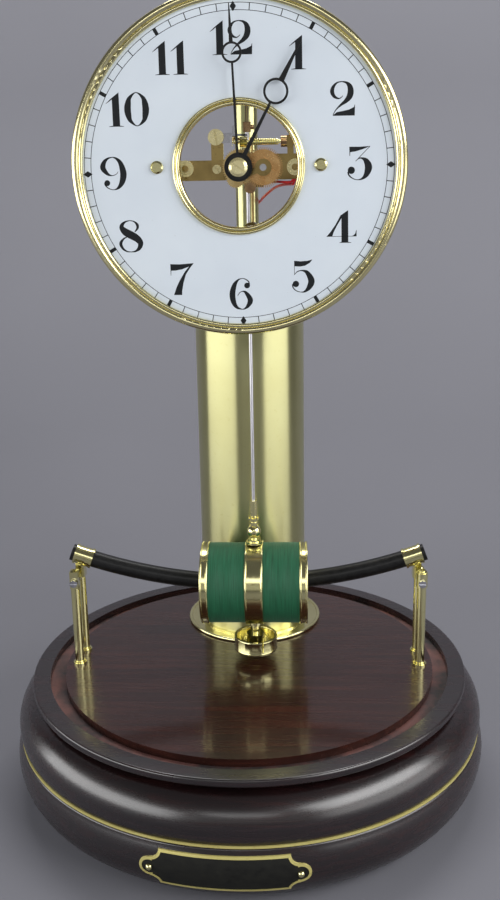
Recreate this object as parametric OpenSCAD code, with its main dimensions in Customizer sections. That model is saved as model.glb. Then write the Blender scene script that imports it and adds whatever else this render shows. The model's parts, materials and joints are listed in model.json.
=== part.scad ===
// Electric mantel clock with an open-centre dial and a coil pendulum that swings along a bar magnet.
// Millimetres. X runs to the right, Y away from the viewer, Z up. Origin at the middle of the underside.

/* [Base] */
// Widest radius of the lower moulding
base_radius = 132.5; // [131.5:0.5:134]
// Height of the base from the table to its rim
base_height = 66; // [65.5:0.5:67]
// Board edge inside the widest radius
board_inset = 28.5; // [28:0.25:29]
// Depth of the dome groove down to the wood
groove_depth = 4.2; // [4:0.1:4.6]
// Thickness of the cloth under the base
pad_thick = 1.2; // [1:0.1:1.5]

/* [Name plate] */
// Width of the plate between its two ears
plate_width = 71.6; // [64:0.4:76]
// Height of the plate
plate_height = 20.2; // [18:0.2:22]

/* [Column] */
// Outside radius of the column tube
tube_radius = 31.6; // [30.6:0.2:32]
// Wall of the column tube
tube_wall = 1; // [0.8:0.1:1.2]
// Radius of the foot flange
flange_radius = 41; // [39.5:0.5:41.5]
// Distance of the column behind the middle
column_y = 61.5; // [61:0.5:62]
// Radius of the upper pillar
pillar_radius = 6.4; // [6:0.1:6.6]

/* [Pendulum] */
// Distance from the hinge point down to the coil centre
swing_radius = 255.6; // [254:0.2:258]
// Height of the coil centre above the board
coil_height = 46.4; // [45.4:0.2:47]
// Length of the bobbin
bobbin_length = 59.6; // [57.6:0.4:62]
// Outside radius of the bobbin flanges
bobbin_radius = 23.3; // [22.5:0.1:23.8]
// Radius of the pendulum rod
rod_radius = 0.9; // [0.8:0.05:1]
// Outside radius of the rating cup
cup_radius = 12.6; // [12:0.1:13]

/* [Magnet] */
// Radius of the magnet bar
magnet_radius = 4.65; // [4.4:0.05:4.8]
// Radius of the magnet's bend
magnet_bend = 277.6; // [272:0.4:284]
// Posts inside the edge of the board
post_inset = 7; // [6.5:0.25:8]
// Half of the distance between front and rear posts
post_pitch = 8.5; // [8:0.25:9]

/* [Dial] */
// Outside radius of the bezel
bezel_radius = 81.8; // [80.8:0.2:83]
// Radius of the open centre
opening_radius = 28.65; // [28.05:0.1:29.25]
// Distance of the dial centre below the hinge point
dial_drop = 28.2; // [28:0.1:28.4]

/* [Hidden] */
$fn = 64;
works_x = 0.8;
pend_x = 4;
swing_y = 3.5;
fit = 0.05;
gap = 0.3;

// Base heights and radii
board_top = base_height;
board_radius = base_radius - board_inset;
bun_r = 24.4;
bun_x = base_radius - bun_r;
bun_z = 24.5;
shelf_z = 35.2;
shelf_round = 1.3;
inlay_thick = 1.2;
inlay_out = base_radius - 2.4;
upper_r = 16.3;
upper_x = base_radius - 18;
upper_z = base_height - 23;
groove_out = board_radius + 8.5;
neck_r = groove_out + 4;
rim_r = groove_out + 9.5;
rim_low = base_height - 4.2;
rim_nose = 1.2;
ledge_z = base_height - 20;
floor_z = base_height - groove_depth;
cover_thick = 4;
cover_r = board_radius + 7;
cover_top = pad_thick + cover_thick;

// Name plate on the lower moulding
plate_mid = -6.5;
plate_z = 22.2;
plate_ear = 5.2;
plate_notch = 4.6;
plate_thick = 0.8;
plate_recess = 0.5;
plate_border = 1.3;
pin_r = 0.7;
pin_head_r = 1.7;

// Column heights
flange_thick = 2.2;
tube_low = board_top + flange_thick;
pivot_z = board_top + coil_height + swing_radius;
coil_z = board_top + coil_height;
tube_top = pivot_z - 71;
tube_in = tube_radius - tube_wall;
spigot_r = tube_in - 0.1;
cap_thick = 3;
cap_top = tube_top + cap_thick;
spigot_high = 7.8;
cell_low = tube_low + spigot_high;
cell_r = 28.5;
cell_long = 150;
cell_high = cell_low + cell_long;
flange_screw_r = 20;
screw_shank = 1.7;
pillar_top = pivot_z + 17;
socket_r = 4;

// Dial and movement levels, front faces are the lower numbers
dial_z = pivot_z - dial_drop;
bar_z = dial_z - 1.6;
bar_half = 4.9;
bar_back = -2;
bar_front = -6;
plate_front = -7.6;
back_y = -18.6;
enamel_front = -20.6;
dial_r = bezel_radius - 2.2;
pillar_dx = 39.9;
pillar_z = dial_z + 0.5;
nut_dx = 27.3;
nut_z = dial_z - 0.5;
nut_bolt_r = 1.6;
dial_bolt_r = 1.5;
dial_thread_r = 1.2;
arm_low = bar_z - 3.9;
arm_high = 8;
arm_half = 3.5;

// Wheel centres and sizes
stud_dx = 11.593;
stud_x = works_x + stud_dx;
stud_z = dial_z - 0.4;
motion_turn = -110;
motion_dist = 6;
motion_x = works_x + motion_dist * cos(motion_turn);
motion_z = dial_z + motion_dist * sin(motion_turn);
train_dist = sqrt(stud_dx * stud_dx + 0.16);
train_turn = atan2(-0.4, stud_dx);
train_mod = 2 * train_dist / 64;
motion_mod = 2 * motion_dist / 40;
motion_pin_r = 0.5;
worm_z = stud_z + 12.2;
worm_y = -9.8;
worm_r = 2;
wheel_r = 10;
ratchet_r = 2.7;
ratchet_low = 2.1;
arbor_r = 0.9;
pipe_r = 1.2;
hour_pipe_r = 2;
stud_r = 0.8;
pivot_r = 0.55;
bush_x = 5.6;
bush_z = dial_z - 10.1;
bush_r = 2.9;
bush_bolt_r = 1.1;
spindle_x = 5.5;
spindle_y = 23.5;
spindle_r = 0.7;
bracket_low = bar_z - 3.7;
fork_z = pivot_z - 59.8;
pawl_arm = 9;
pawl_x = spindle_x - pawl_arm;
pawl_pin_r = 0.7;
fork_low = fork_z - 1.2;
pawl_z = worm_z + ratchet_r + gap;
post_x = works_x - 11.6;
post_low_x = post_x + 0.1;
post_low_z = bar_z + 0.6;
post_high_z = worm_z + 2.5;

// Pendulum heights
bore_r = 9;
wind_r = bobbin_radius - 0.7;
band_half = 5;
end_wide = 4.5;
half_long = bobbin_length / 2;
band_top = coil_z + bobbin_radius + 0.4;
rod_top = pivot_z - 11.5;
cup_low = board_top + 6;
cup_high = cup_low + 8.2;
stem_r = 2.4;

// Bracket places and heights
post_spread = board_radius - post_inset;
bend_z = coil_z + magnet_bend;
mag_post_z = bend_z - sqrt(magnet_bend * magnet_bend - post_spread * post_spread);
cross_z = mag_post_z - 13.6;
post_top = cross_z - 2.6;
collar_x = post_spread - 4.4;
collar_turn = asin(collar_x / magnet_bend);
cross_r = 1.2;
bolt_r = 1.8;
ball_r = 3.4;

// Route of the battery lead and of its short link
lead_r = 0.7;
lead_knots = [
    [works_x + 2.4, column_y, cell_high + 10],
    [works_x + 7, column_y + 4, cell_high + 22],
    [works_x + 5, column_y + 9, tube_top - 22],
    [works_x + 3.5, column_y + 11, tube_top - 6],
    [works_x + 3.5, column_y + 11, cap_top + 3],
    [works_x + 3.5, column_y + 10.5, pivot_z - 62],
    [works_x + 3.5, column_y + 9.5, pivot_z - 52],
    [works_x + 7.6, column_y + 3.5, pivot_z - 47.6],
    [10.5, column_y - 11.5, pivot_z - 45.2],
    [16.8, 28, pivot_z - 39.8],
    [22, 8, pivot_z - 37.6],
    [26.5, -5, pivot_z - 37],
    [27.2, -8.2, pivot_z - 36.8],
    [28.1, -9.3, pivot_z - 34.6]
];
link_knots = [
    [27.1, -9.3, pivot_z - 34.6],
    [26, -8.8, pivot_z - 35.9],
    [22, -7.4, pivot_z - 35.9],
    [17.5, -4.2, pivot_z - 35.7],
    [14, -1.8, pivot_z - 36],
    [12.4, -1.2, pivot_z - 36.4]
];

// The part to show on its own

// Cylinder along Y from the front face y0 to the back face y1
module along_y(r, y0, y1) {
    translate([0, y1, 0]) rotate([90, 0, 0]) cylinder(r = r, h = y1 - y0);
}

// Cylinder along X from x0 to x1
module along_x(r, x0, x1) {
    translate([x0, 0, 0]) rotate([0, 90, 0]) cylinder(r = r, h = x1 - x0);
}

// Flat shape drawn in X and Z, standing from the front face y0 to the back face y1
module upright(y0, y1) {
    translate([0, y1, 0]) rotate([90, 0, 0]) linear_extrude(y1 - y0) children();
}

// Teeth with straight flanks, the first one at the given angle
module teeth(count, mod, turn, depth = 1.05) {
    step = 360 / count;
    low = mod * (count / 2 - depth);
    high = mod * (count / 2 + 0.7);
    polygon([for (k = [0:count - 1], p = [[-0.27, low], [-0.11, high], [0.11, high], [0.27, low]])
        p[1] * [cos(turn + (k + p[0]) * step), sin(turn + (k + p[0]) * step)]]);
}

// Saw teeth for the ratchet
module saw(count, low, high) {
    step = 360 / count;
    polygon([for (k = [0:count - 1], p = [[0, low], [0.12, high], [0.24, high]])
        p[1] * [cos((k + p[0]) * step), sin((k + p[0]) * step)]]);
}

// Smooth curve through the knots
function knot(k, i) = k[max(0, min(len(k) - 1, i))];
function blend_at(a, b, c, d, t) = 0.5 * (2 * b + (c - a) * t + (2 * a - 5 * b + 4 * c - d) * t * t
    + (3 * b - a - 3 * c + d) * t * t * t);
function curve(k, n) = concat([for (i = [0:len(k) - 2], j = [0:n - 1])
    blend_at(knot(k, i - 1), knot(k, i), knot(k, i + 1), knot(k, i + 2), j / n)], [k[len(k) - 1]]);
function heading(p, i) = let (d = p[min(len(p) - 1, i + 1)] - p[max(0, i - 1)]) d / norm(d);

// Round wire along a curve, its rings kept square to the path
module wire(points, r, side, up) {
    count = len(points);
    rings = [for (i = [0:count - 1]) let (d = heading(points, i), u = cross(d, up) / norm(cross(d, up)),
        v = cross(d, u)) for (s = [0:side - 1])
        points[i] + r * (cos(s * 360 / side) * u + sin(s * 360 / side) * v)];
    skin = [for (i = [0:count - 2], s = [0:side - 1])
        [i * side + s, i * side + (s + 1) % side, (i + 1) * side + (s + 1) % side, (i + 1) * side + s]];
    ends = [[for (s = [side - 1:-1:0]) s], [for (s = [0:side - 1]) (count - 1) * side + s]];
    polyhedron(rings, concat(skin, ends), convexity = 8);
}

module moulding_profile() {
    intersection() {
        translate([bun_x, bun_z]) circle(r = bun_r);
        translate([0, pad_thick]) square([base_radius + 1, shelf_z - shelf_round - pad_thick]);
    }
    translate([0, bun_z]) square([base_radius - 3.2, shelf_z - bun_z]);
    translate([base_radius - 3.2, shelf_z - shelf_round]) circle(r = shelf_round);
    intersection() {
        translate([upper_x, upper_z]) circle(r = upper_r);
        translate([0, shelf_z - 0.5]) square([base_radius, 60]);
    }
    translate([0, shelf_z]) square([neck_r, rim_low - shelf_z]);
    translate([0, rim_low]) square([rim_r - rim_nose, base_height - rim_low]);
    translate([rim_r - rim_nose, rim_low + rim_nose]) circle(r = rim_nose);
    translate([rim_r - rim_nose, base_height - rim_nose]) circle(r = rim_nose);
    translate([0, rim_low + rim_nose]) square([rim_r, base_height - rim_low - 2 * rim_nose]);
}

module inlay_profile() {
    translate([base_radius - 6.5, shelf_z]) square([inlay_out - base_radius + 6.5, inlay_thick]);
}

module plate_outline(inset) {
    difference() {
        square([plate_width - 2 * inset, plate_height - 2 * inset], center = true);
        for (sx = [-1, 1], sz = [-1, 1]) translate([sx * plate_width / 2, sz * plate_height / 2])
            circle(r = plate_notch + inset);
    }
    for (s = [-1, 1]) translate([s * plate_width / 2, 0]) circle(r = plate_ear - inset);
}

module plate_shell(low, high, inset) {
    intersection() {
        rotate([0, 0, 240]) rotate_extrude(angle = 60) translate([bun_x, bun_z]) difference() {
            circle(r = bun_r + high);
            circle(r = bun_r + low);
        }
        translate([plate_mid, 0, plate_z]) upright(-base_radius - 5, -105) plate_outline(inset);
    }
}

// A plate pin leans with the face it is driven into
module pin_place(s) {
    px = plate_mid + s * plate_width / 2;
    turn = asin(px / base_radius);
    rotate([0, 0, turn]) translate([0, 0, plate_z]) children();
}

module pin_shape() {
    along_y(pin_r, -base_radius - 1, -base_radius + 14);
}

module baize_pad() {
    color([0.12, 0.22, 0.15]) cylinder(r = groove_out + 0.5, h = pad_thick, $fn = 128);
}

module bottom_cover() {
    color([0.22, 0.12, 0.08]) difference() {
        translate([0, 0, pad_thick]) cylinder(r = cover_r - 0.2, h = cover_thick, $fn = 128);
        translate([0, 0, pad_thick + 1]) cylinder(r = cover_r - 12, h = cover_thick);
    }
}

module base_moulding() {
    color([0.18, 0.07, 0.05]) difference() {
        rotate_extrude($fn = 128) difference() {
            moulding_profile();
            square([board_radius, base_height]);
            translate([0, floor_z]) square([groove_out, base_height]);
            square([cover_r, cover_top]);
            inlay_profile();
        }
        for (s = [-1, 1]) pin_place(s) pin_shape();
    }
}

module top_board() {
    color([0.34, 0.13, 0.08]) difference() {
        translate([0, 0, ledge_z]) cylinder(r = board_radius, h = base_height - ledge_z, $fn = 128);
        board_holes();
    }
}

module board_holes() {
    flange_screw_places() translate([0, 0, ledge_z - 1]) cylinder(r = screw_shank, h = 30);
    for (s = [-1, 1], t = [-1, 1]) translate([s * post_spread, swing_y + t * post_pitch, ledge_z - 1])
        cylinder(r = bolt_r, h = 30);
}

module brass_inlay_ring() {
    color([0.8, 0.65, 0.3]) rotate_extrude($fn = 128) inlay_profile();
}

module name_plate() {
    color([0.8, 0.65, 0.3]) difference() {
        plate_shell(0.02, plate_thick, 0);
        plate_shell(plate_recess, 3, plate_border);
        for (s = [-1, 1]) pin_place(s) pin_shape();
    }
}

module plate_pins() {
    color([0.8, 0.65, 0.3]) for (s = [-1, 1]) pin_place(s) {
        pin_shape();
        translate([0, -base_radius - 0.72, 0]) difference() {
            sphere(r = pin_head_r);
            translate([-3, 0, -3]) cube(6);
        }
    }
}

module flange_screw_places() {
    for (a = [90, 210, 330]) translate([works_x, column_y, 0]) rotate([0, 0, a])
        translate([flange_screw_r, 0, 0]) children();
}

module column_flange() {
    color([0.8, 0.65, 0.3]) difference() {
        translate([works_x, column_y, board_top]) rotate_extrude($fn = 96) difference() {
            union() {
                square([flange_radius - 1.1, 1.4]);
                translate([flange_radius - 1.1, 1.1]) circle(r = 1.1);
                square([tube_radius + 1.9, flange_thick]);
                translate([spigot_r - 3, 0]) square([3, flange_thick + spigot_high]);
            }
            square([8, 5]);
        }
        flange_screw_places() translate([0, 0, board_top - 1]) cylinder(r = screw_shank, h = 6);
    }
}

module flange_screws() {
    color([0.55, 0.55, 0.56]) flange_screw_places() difference() {
        union() {
            translate([0, 0, tube_low]) cylinder(r = 3.2, h = 2);
            translate([0, 0, tube_low - 16]) cylinder(r = screw_shank, h = 17);
        }
        translate([-4, -0.4, tube_low + 1]) cube([8, 0.8, 2]);
    }
}

module column_tube() {
    color([0.8, 0.65, 0.3]) translate([works_x, column_y, tube_low]) difference() {
        cylinder(r = tube_radius, h = tube_top - tube_low, $fn = 96);
        translate([0, 0, -1]) cylinder(r = tube_in, h = tube_top - tube_low + 2, $fn = 96);
    }
}

module battery_cell() {
    color([0.45, 0.46, 0.48]) translate([works_x, column_y, cell_low]) {
        cylinder(r = cell_r, h = cell_long);
        translate([0, 0, cell_long]) cylinder(r = 7, h = 2);
        translate([0, 0, cell_long]) cylinder(r = 1.8, h = 11);
        translate([0, 0, cell_long + 6]) cylinder(r = 4, h = 3, $fn = 24);
    }
}

module column_cap() {
    color([0.8, 0.65, 0.3]) translate([works_x, column_y, tube_top]) difference() {
        union() {
            rotate_extrude($fn = 96) {
                square([tube_radius + 0.2, cap_thick]);
                translate([tube_radius + 0.2, cap_thick / 2]) circle(r = cap_thick / 2);
            }
            translate([0, 0, -6]) cylinder(r = spigot_r, h = 7, $fn = 96);
        }
        translate([0, 0, -7]) difference() {
            cylinder(r = 27, h = 7);
            cylinder(r = 8, h = 7);
        }
        translate([0, 0, -7]) cylinder(r = socket_r, h = 12);
        translate([3.5, 11, -1]) cylinder(r = 1.4, h = 6);
    }
}

module upper_pillar() {
    color([0.8, 0.65, 0.3]) translate([works_x, column_y, cap_top]) {
        rotate_extrude() {
            square([pillar_radius, pillar_top - cap_top]);
            square([pillar_radius + 3, 2]);
            translate([0, 2]) square([pillar_radius + 2, 1.2]);
        }
        translate([0, 0, -9]) cylinder(r = socket_r, h = 10);
        translate([0, 0, pillar_top - cap_top]) cylinder(r1 = pillar_radius, r2 = 3.5, h = 2);
    }
}

module bar_magnet() {
    span = 2 * asin((post_spread + 2.3) / magnet_bend);
    color([0.05, 0.05, 0.06]) translate([0, swing_y, bend_z]) rotate([90, 0, 0])
        rotate([0, 0, 270 - span / 2]) rotate_extrude(angle = span, $fn = 256)
        translate([magnet_bend, 0]) circle(r = magnet_radius, $fn = 32);
}

// Collar round the magnet with a lug that stands on the cross screw between its two posts
module magnet_collar(s) {
    cz = bend_z - magnet_bend * cos(collar_turn);
    color([0.8, 0.65, 0.3]) difference() {
        union() {
            translate([s * collar_x, swing_y, cz]) rotate([0, -s * collar_turn, 0]) {
                along_x(magnet_radius + 0.7, -5.2, 5.2);
                along_x(magnet_radius + 1.1, -5.2, -4);
                along_x(magnet_radius + 1.1, 4, 5.2);
            }
            translate([s * post_spread, swing_y, cross_z]) along_y(2.6, -post_pitch + 3.4, post_pitch - 3.4);
            translate([s * (post_spread - 2.2) - 2.4, swing_y - 3, cross_z]) cube([4.8, 6, 10]);
        }
        translate([0, swing_y, bend_z]) rotate([90, 0, 0]) rotate([0, 0, 270 - 25])
            rotate_extrude(angle = 50, $fn = 256) translate([magnet_bend, 0])
            circle(r = magnet_radius + 0.02, $fn = 32);
        translate([s * post_spread, swing_y, cross_z]) along_y(cross_r, -20, 20);
    }
}

module magnet_collar_left() {
    magnet_collar(-1);
}

module magnet_collar_right() {
    magnet_collar(1);
}

module post_shaft() {
    translate([0, 0, board_top]) rotate_extrude($fn = 32) {
        square([3.7, 1]);
        translate([0, 1]) square([3.1, 0.8]);
        square([2.5, post_top - board_top]);
    }
    translate([0, 0, ledge_z - 4]) cylinder(r = bolt_r, h = board_top - ledge_z + 5);
}

module bracket_posts_left() {
    color([0.8, 0.65, 0.3]) difference() {
        union() {
            translate([-post_spread, swing_y - post_pitch, 0]) post_shaft();
            translate([-post_spread, swing_y + post_pitch, 0]) post_shaft();
            translate([-post_spread - 2.3, swing_y - post_pitch - 2.6, cross_z - 3.6]) cube([4.6, 5.2, 10]);
            translate([-post_spread, swing_y + post_pitch, cross_z]) sphere(r = ball_r);
        }
        translate([-post_spread, swing_y, cross_z]) along_y(cross_r, -20, post_pitch + 2);
    }
}

module bracket_posts_right() {
    color([0.8, 0.65, 0.3]) difference() {
        union() {
            translate([post_spread, swing_y - post_pitch, 0]) post_shaft();
            translate([post_spread, swing_y + post_pitch, 0]) post_shaft();
            translate([post_spread, swing_y - post_pitch, cross_z - 3.6]) rotate_extrude($fn = 32) {
                square([2.6, 9.9]);
                translate([0, 0.8]) square([3.1, 8.3]);
                translate([0, 9.8]) square([1.8, 0.9]);
            }
            translate([post_spread, swing_y + post_pitch, cross_z]) sphere(r = ball_r);
        }
        translate([post_spread, swing_y, cross_z]) along_y(cross_r, -20, post_pitch + 2);
    }
}

module bracket_screws() {
    color([0.6, 0.6, 0.6]) for (s = [-1, 1]) translate([s * post_spread, swing_y, cross_z])
        difference() {
            union() {
                along_y(cross_r, -post_pitch - 3.1, post_pitch + 2);
                along_y(2.1, -post_pitch - 4.5, -post_pitch - 3.1);
            }
            translate([-3, -post_pitch - 5.5, -0.3]) cube([6, 1.6, 0.6]);
        }
}

module post_nuts() {
    color([0.7, 0.58, 0.3]) for (s = [-1, 1], t = [-1, 1])
        translate([s * post_spread, swing_y + t * post_pitch, ledge_z - 3]) difference() {
            cylinder(r = 3.8, h = 3, $fn = 6);
            translate([0, 0, -1]) cylinder(r = bolt_r, h = 5);
        }
}

// Fork-shaped arm from the pillar to the cross bar, open for the pendulum rod
module movement_yoke() {
    color([0.8, 0.65, 0.3]) difference() {
        union() {
            for (s = [-1, 1]) translate([works_x + s * nut_dx - arm_half, bar_back, arm_low])
                cube([2 * arm_half, column_y - 12.5 - bar_back, arm_high]);
            translate([works_x - nut_dx - arm_half, column_y - 17.5, arm_low])
                cube([2 * (nut_dx + arm_half), 7, arm_high]);
            translate([works_x, column_y, arm_low]) cylinder(r = pillar_radius + 4.5, h = arm_high);
            translate([works_x - 6, column_y - 12.5, arm_low]) cube([12, 5, arm_high]);
            for (s = [-1, 1]) translate([works_x + s * nut_dx, 0, nut_z]) along_y(nut_bolt_r, -10.4, 2);
        }
        translate([works_x, column_y, bar_z - 5]) cylinder(r = pillar_radius, h = 12);
        translate([works_x - 0.5, column_y, bar_z - 5]) cube([1, 12, 12]);
    }
}

module cross_bar() {
    color([0.8, 0.65, 0.3]) difference() {
        upright(bar_front, bar_back) {
            translate([works_x - 46, bar_z - bar_half]) square([92, 2 * bar_half]);
            translate([bush_x, bush_z]) circle(r = bush_r);
            translate([bush_x - bush_r, bush_z]) square([2 * bush_r, 5]);
        }
        for (s = [-1, 1]) translate([works_x + s * nut_dx, 0, nut_z]) along_y(nut_bolt_r, -9, 0);
        for (s = [-1, 1]) translate([works_x + s * pillar_dx, 0, pillar_z]) along_y(dial_bolt_r, -9, 0);
        translate([works_x, 0, dial_z]) along_y(arbor_r + fit, -9, 0);
        translate([stud_x, 0, stud_z]) along_y(stud_r, -9, 0);
        translate([bush_x, 0, bush_z]) along_y(bush_bolt_r, -9, 0);
        translate([post_low_x, 0, post_low_z]) along_y(1, -9, 0);
    }
}

module stepped_nut(front) {
    difference() {
        union() {
            along_y(4, front - 1.6, front);
            along_y(2.6, front - 2.6, front - 1.5);
        }
        along_y(nut_bolt_r, front - 4, front + 1);
    }
}

module bar_nuts() {
    color([0.8, 0.62, 0.28]) {
        translate([works_x - nut_dx, 0, nut_z]) stepped_nut(bar_front);
        translate([works_x + nut_dx, 0, nut_z]) stepped_nut(plate_front);
    }
}

module dial_pillars() {
    color([0.8, 0.65, 0.3]) for (s = [-1, 1]) translate([works_x + s * pillar_dx, 0, pillar_z])
        difference() {
            union() {
                along_y(2.6, back_y, bar_front);
                along_y(dial_bolt_r, bar_front - 1, bar_back + 0.8);
            }
            along_y(dial_thread_r, back_y - 1, back_y + 5);
        }
}

// Plate on the front of the bar with the upright that holds the worm's outer bearing
module worm_bracket() {
    color([0.78, 0.6, 0.3]) difference() {
        union() {
            upright(plate_front, bar_front) {
                translate([8, bar_z - 4.7]) square([25, 12.3]);
                translate([24.4, bar_z]) square([3.1, worm_z + 3 - bar_z]);
            }
            translate([24.2, worm_y - 2.4, worm_z - 3]) cube([3, bar_front - worm_y + 2.4, 6]);
        }
        translate([0, worm_y, worm_z]) along_x(1.4, 20, 30);
        translate([works_x + nut_dx, 0, nut_z]) along_y(nut_bolt_r, -9, -4);
        translate([stud_x, 0, stud_z]) along_y(stud_r, -9, -4);
    }
}

module bearing_screw() {
    color([0.3, 0.2, 0.13]) translate([0, worm_y, worm_z]) difference() {
        union() {
            along_x(2.7, 21.2, 24.2);
            along_x(1.4, 24, 28.6);
        }
        along_x(pivot_r + fit, 20, 24);
        translate([27.8, -3, -0.3]) cube([2, 6, 0.6]);
    }
}

module left_post() {
    color([0.78, 0.6, 0.3]) difference() {
        upright(-8, bar_front) {
            translate([post_x - 2.6, bar_z - 4.4]) square([6, 19.8]);
            translate([post_x + 0.1, post_high_z]) circle(r = 2.9);
        }
        translate([post_low_x, 0, post_low_z]) along_y(1, -9, -4);
        translate([post_x, 0, post_high_z]) along_y(1, -9, -4);
    }
}

// Steel strip that carries the worm's inner bearing
module pivot_cock() {
    color([0.5, 0.51, 0.53]) difference() {
        union() {
            translate([post_x - 1.6, -8.8, worm_z - 0.4]) cube([9.7, 0.8, 4.9]);
            translate([post_x + 7.2, -12, worm_z - 2]) cube([0.9, 4, 4.7]);
        }
        translate([post_x, 0, post_high_z]) along_y(1, -10, -4);
        translate([0, worm_y, worm_z]) along_x(pivot_r + fit, -6, 0);
    }
}

module click_spring() {
    color([0.5, 0.51, 0.53]) translate([0, 0, worm_z]) {
        difference() {
            translate([post_x - 1.6, -9.1, 1]) cube([5, 0.3, 3.2]);
            translate([post_x, 0, 2.5]) along_y(1, -10, -4);
        }
        translate([post_x + 3, -9.1, ratchet_r + gap]) cube([9.6, 0.3, 1]);
        translate([post_x + 8, -9.1, ratchet_r + gap + 0.5]) cube([1, 0.3, 4.4]);
    }
}

module post_screws() {
    color([0.8, 0.66, 0.35]) {
        translate([post_low_x, 0, post_low_z]) difference() {
            union() {
                along_y(2.2, -9.3, -8);
                along_y(1, -8.5, bar_back);
            }
            rotate([0, 50, 0]) translate([-4, -10, -0.35]) cube([8, 1.4, 0.7]);
        }
        translate([post_x, 0, post_high_z]) difference() {
            union() {
                along_y(3.9, -10.7, -9.1);
                along_y(1, -9.5, bar_front);
            }
            rotate([0, 80, 0]) translate([-5, -11.5, -0.4]) cube([10, 1.6, 0.8]);
        }
    }
}

module wheel_stud() {
    color([0.75, 0.76, 0.78]) translate([stud_x, 0, stud_z]) {
        along_y(stud_r, -12.1, bar_back);
        along_y(1.7, -12.7, -11.9);
    }
}

// Small bridge on the stud that holds the pin of the motion wheel
module motion_bridge() {
    reach = norm([stud_x - motion_x, stud_z - motion_z]);
    lean = atan2(motion_z - stud_z, motion_x - stud_x);
    color([0.8, 0.6, 0.3]) difference() {
        union() {
            upright(-11.9, -11.1) {
                translate([stud_x, stud_z]) circle(r = 4.1);
                translate([motion_x, motion_z]) circle(r = 1.8);
                translate([stud_x, stud_z]) rotate(lean) translate([0, -1.5]) square([reach, 3]);
            }
            translate([motion_x, 0, motion_z]) along_y(motion_pin_r, -15.6, -11.5);
        }
        translate([stud_x, 0, stud_z]) along_y(stud_r, -13, -10);
    }
}

module spindle_bracket() {
    color([0.78, 0.6, 0.3]) difference() {
        union() {
            upright(bar_back, -0.4) {
                translate([bush_x - bush_r, bush_z]) square([9.3, bar_z + bar_half - bush_z]);
                translate([bush_x, bush_z]) circle(r = bush_r);
            }
            translate([8.6, -1, bracket_low]) cube([3.4, spindle_y + 3, arm_high]);
            translate([spindle_x, spindle_y - 2, bracket_low]) cube([6, 4, arm_high]);
            translate([spindle_x, spindle_y, bracket_low]) cylinder(r = 2.4, h = arm_high, $fn = 32);
        }
        translate([spindle_x, spindle_y, bar_z - 6]) cylinder(r = spindle_r + fit, h = 14, $fn = 32);
        translate([bush_x, 0, bush_z]) along_y(bush_bolt_r, -9, 1);
    }
}

module bracket_bush() {
    color([0.55, 0.3, 0.2]) translate([bush_x, 0, bush_z]) {
        difference() {
            along_y(bush_r, -7.8, bar_front);
            along_y(bush_r - 0.9, -9, -7.2);
        }
        along_y(bush_r - 1.2, -7.5, -7);
        along_y(bush_bolt_r, -7.5, -0.4);
    }
}

module red_lead() {
    color([0.75, 0.1, 0.12]) wire(curve(lead_knots, 3), lead_r, 8, [1, 0.2, 0]);
    color([0.75, 0.1, 0.12]) wire(curve(link_knots, 2), lead_r - 0.1, 8, [0, 0, 1]);
}

// Arm from the pillar top that carries the ribbon's clamp
module suspension_cock() {
    color([0.8, 0.65, 0.3]) difference() {
        union() {
            translate([works_x, column_y, pivot_z + 5]) cylinder(r = pillar_radius + 4, h = 8);
            translate([pend_x - 4, swing_y - 4, pivot_z + 5]) cube([8, column_y - swing_y, 8]);
            translate([pend_x - 2.5, swing_y - 3.6, pivot_z + 2.4]) cube([5, 7.2, 4]);
        }
        translate([works_x, column_y, pivot_z]) cylinder(r = pillar_radius, h = 20);
        translate([works_x - 0.5, column_y, pivot_z]) cube([1, 12, 20]);
        translate([pend_x - 1.3, swing_y - 3, pivot_z + 1]) cube([2.6, 6, 4]);
    }
}

module dial_plate() {
    color([0.88, 0.92, 0.94]) translate([works_x, 0, dial_z]) difference() {
        along_y(dial_r, enamel_front, back_y);
        along_y(opening_radius + 0.9, -30, 0);
        for (s = [-1, 1]) translate([s * pillar_dx, 0, pillar_z - dial_z]) along_y(dial_thread_r, -30, 0);
    }
}

module bezel_ring() {
    color([0.8, 0.65, 0.3]) translate([works_x, back_y, dial_z]) rotate([90, 0, 0])
        rotate_extrude($fn = 128) difference() {
            union() {
                translate([dial_r - 1, 0]) square([bezel_radius - dial_r + 1, 3]);
                translate([dial_r - 3, 1]) square([3.4, 2.2]);
                translate([dial_r - 2.3, 3.1]) circle(r = 1.1);
                translate([bezel_radius - 1.9, 2.7]) circle(r = 1.9);
                translate([dial_r - 2, 2]) square([3, 1.6]);
            }
            square([dial_r, back_y - enamel_front]);
        }
}

module inner_ring() {
    color([0.8, 0.65, 0.3]) translate([works_x, back_y, dial_z]) rotate([90, 0, 0])
        rotate_extrude($fn = 96) {
            translate([opening_radius, -0.4]) square([0.9, 3]);
            translate([opening_radius, 2]) square([3.6, 0.9]);
            translate([opening_radius + 1, 3]) circle(r = 1);
            translate([opening_radius + 2.8, 2.85]) circle(r = 0.85);
        }
}

module dial_screws() {
    color([0.82, 0.68, 0.38]) for (s = [-1, 1]) translate([works_x + s * pillar_dx, 0, pillar_z])
        difference() {
            union() {
                along_y(dial_thread_r, enamel_front - 0.5, back_y + 4);
                along_y(3.1, enamel_front - 1, enamel_front);
                translate([0, enamel_front - 0.9, 0]) rotate([90, 0, 0])
                    cylinder(r1 = 3.1, r2 = 2.2, h = 0.8);
            }
            rotate([0, 20 * s, 0]) translate([-4, enamel_front - 2.5, -0.35]) cube([8, 1.6, 0.7]);
        }
}

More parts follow.
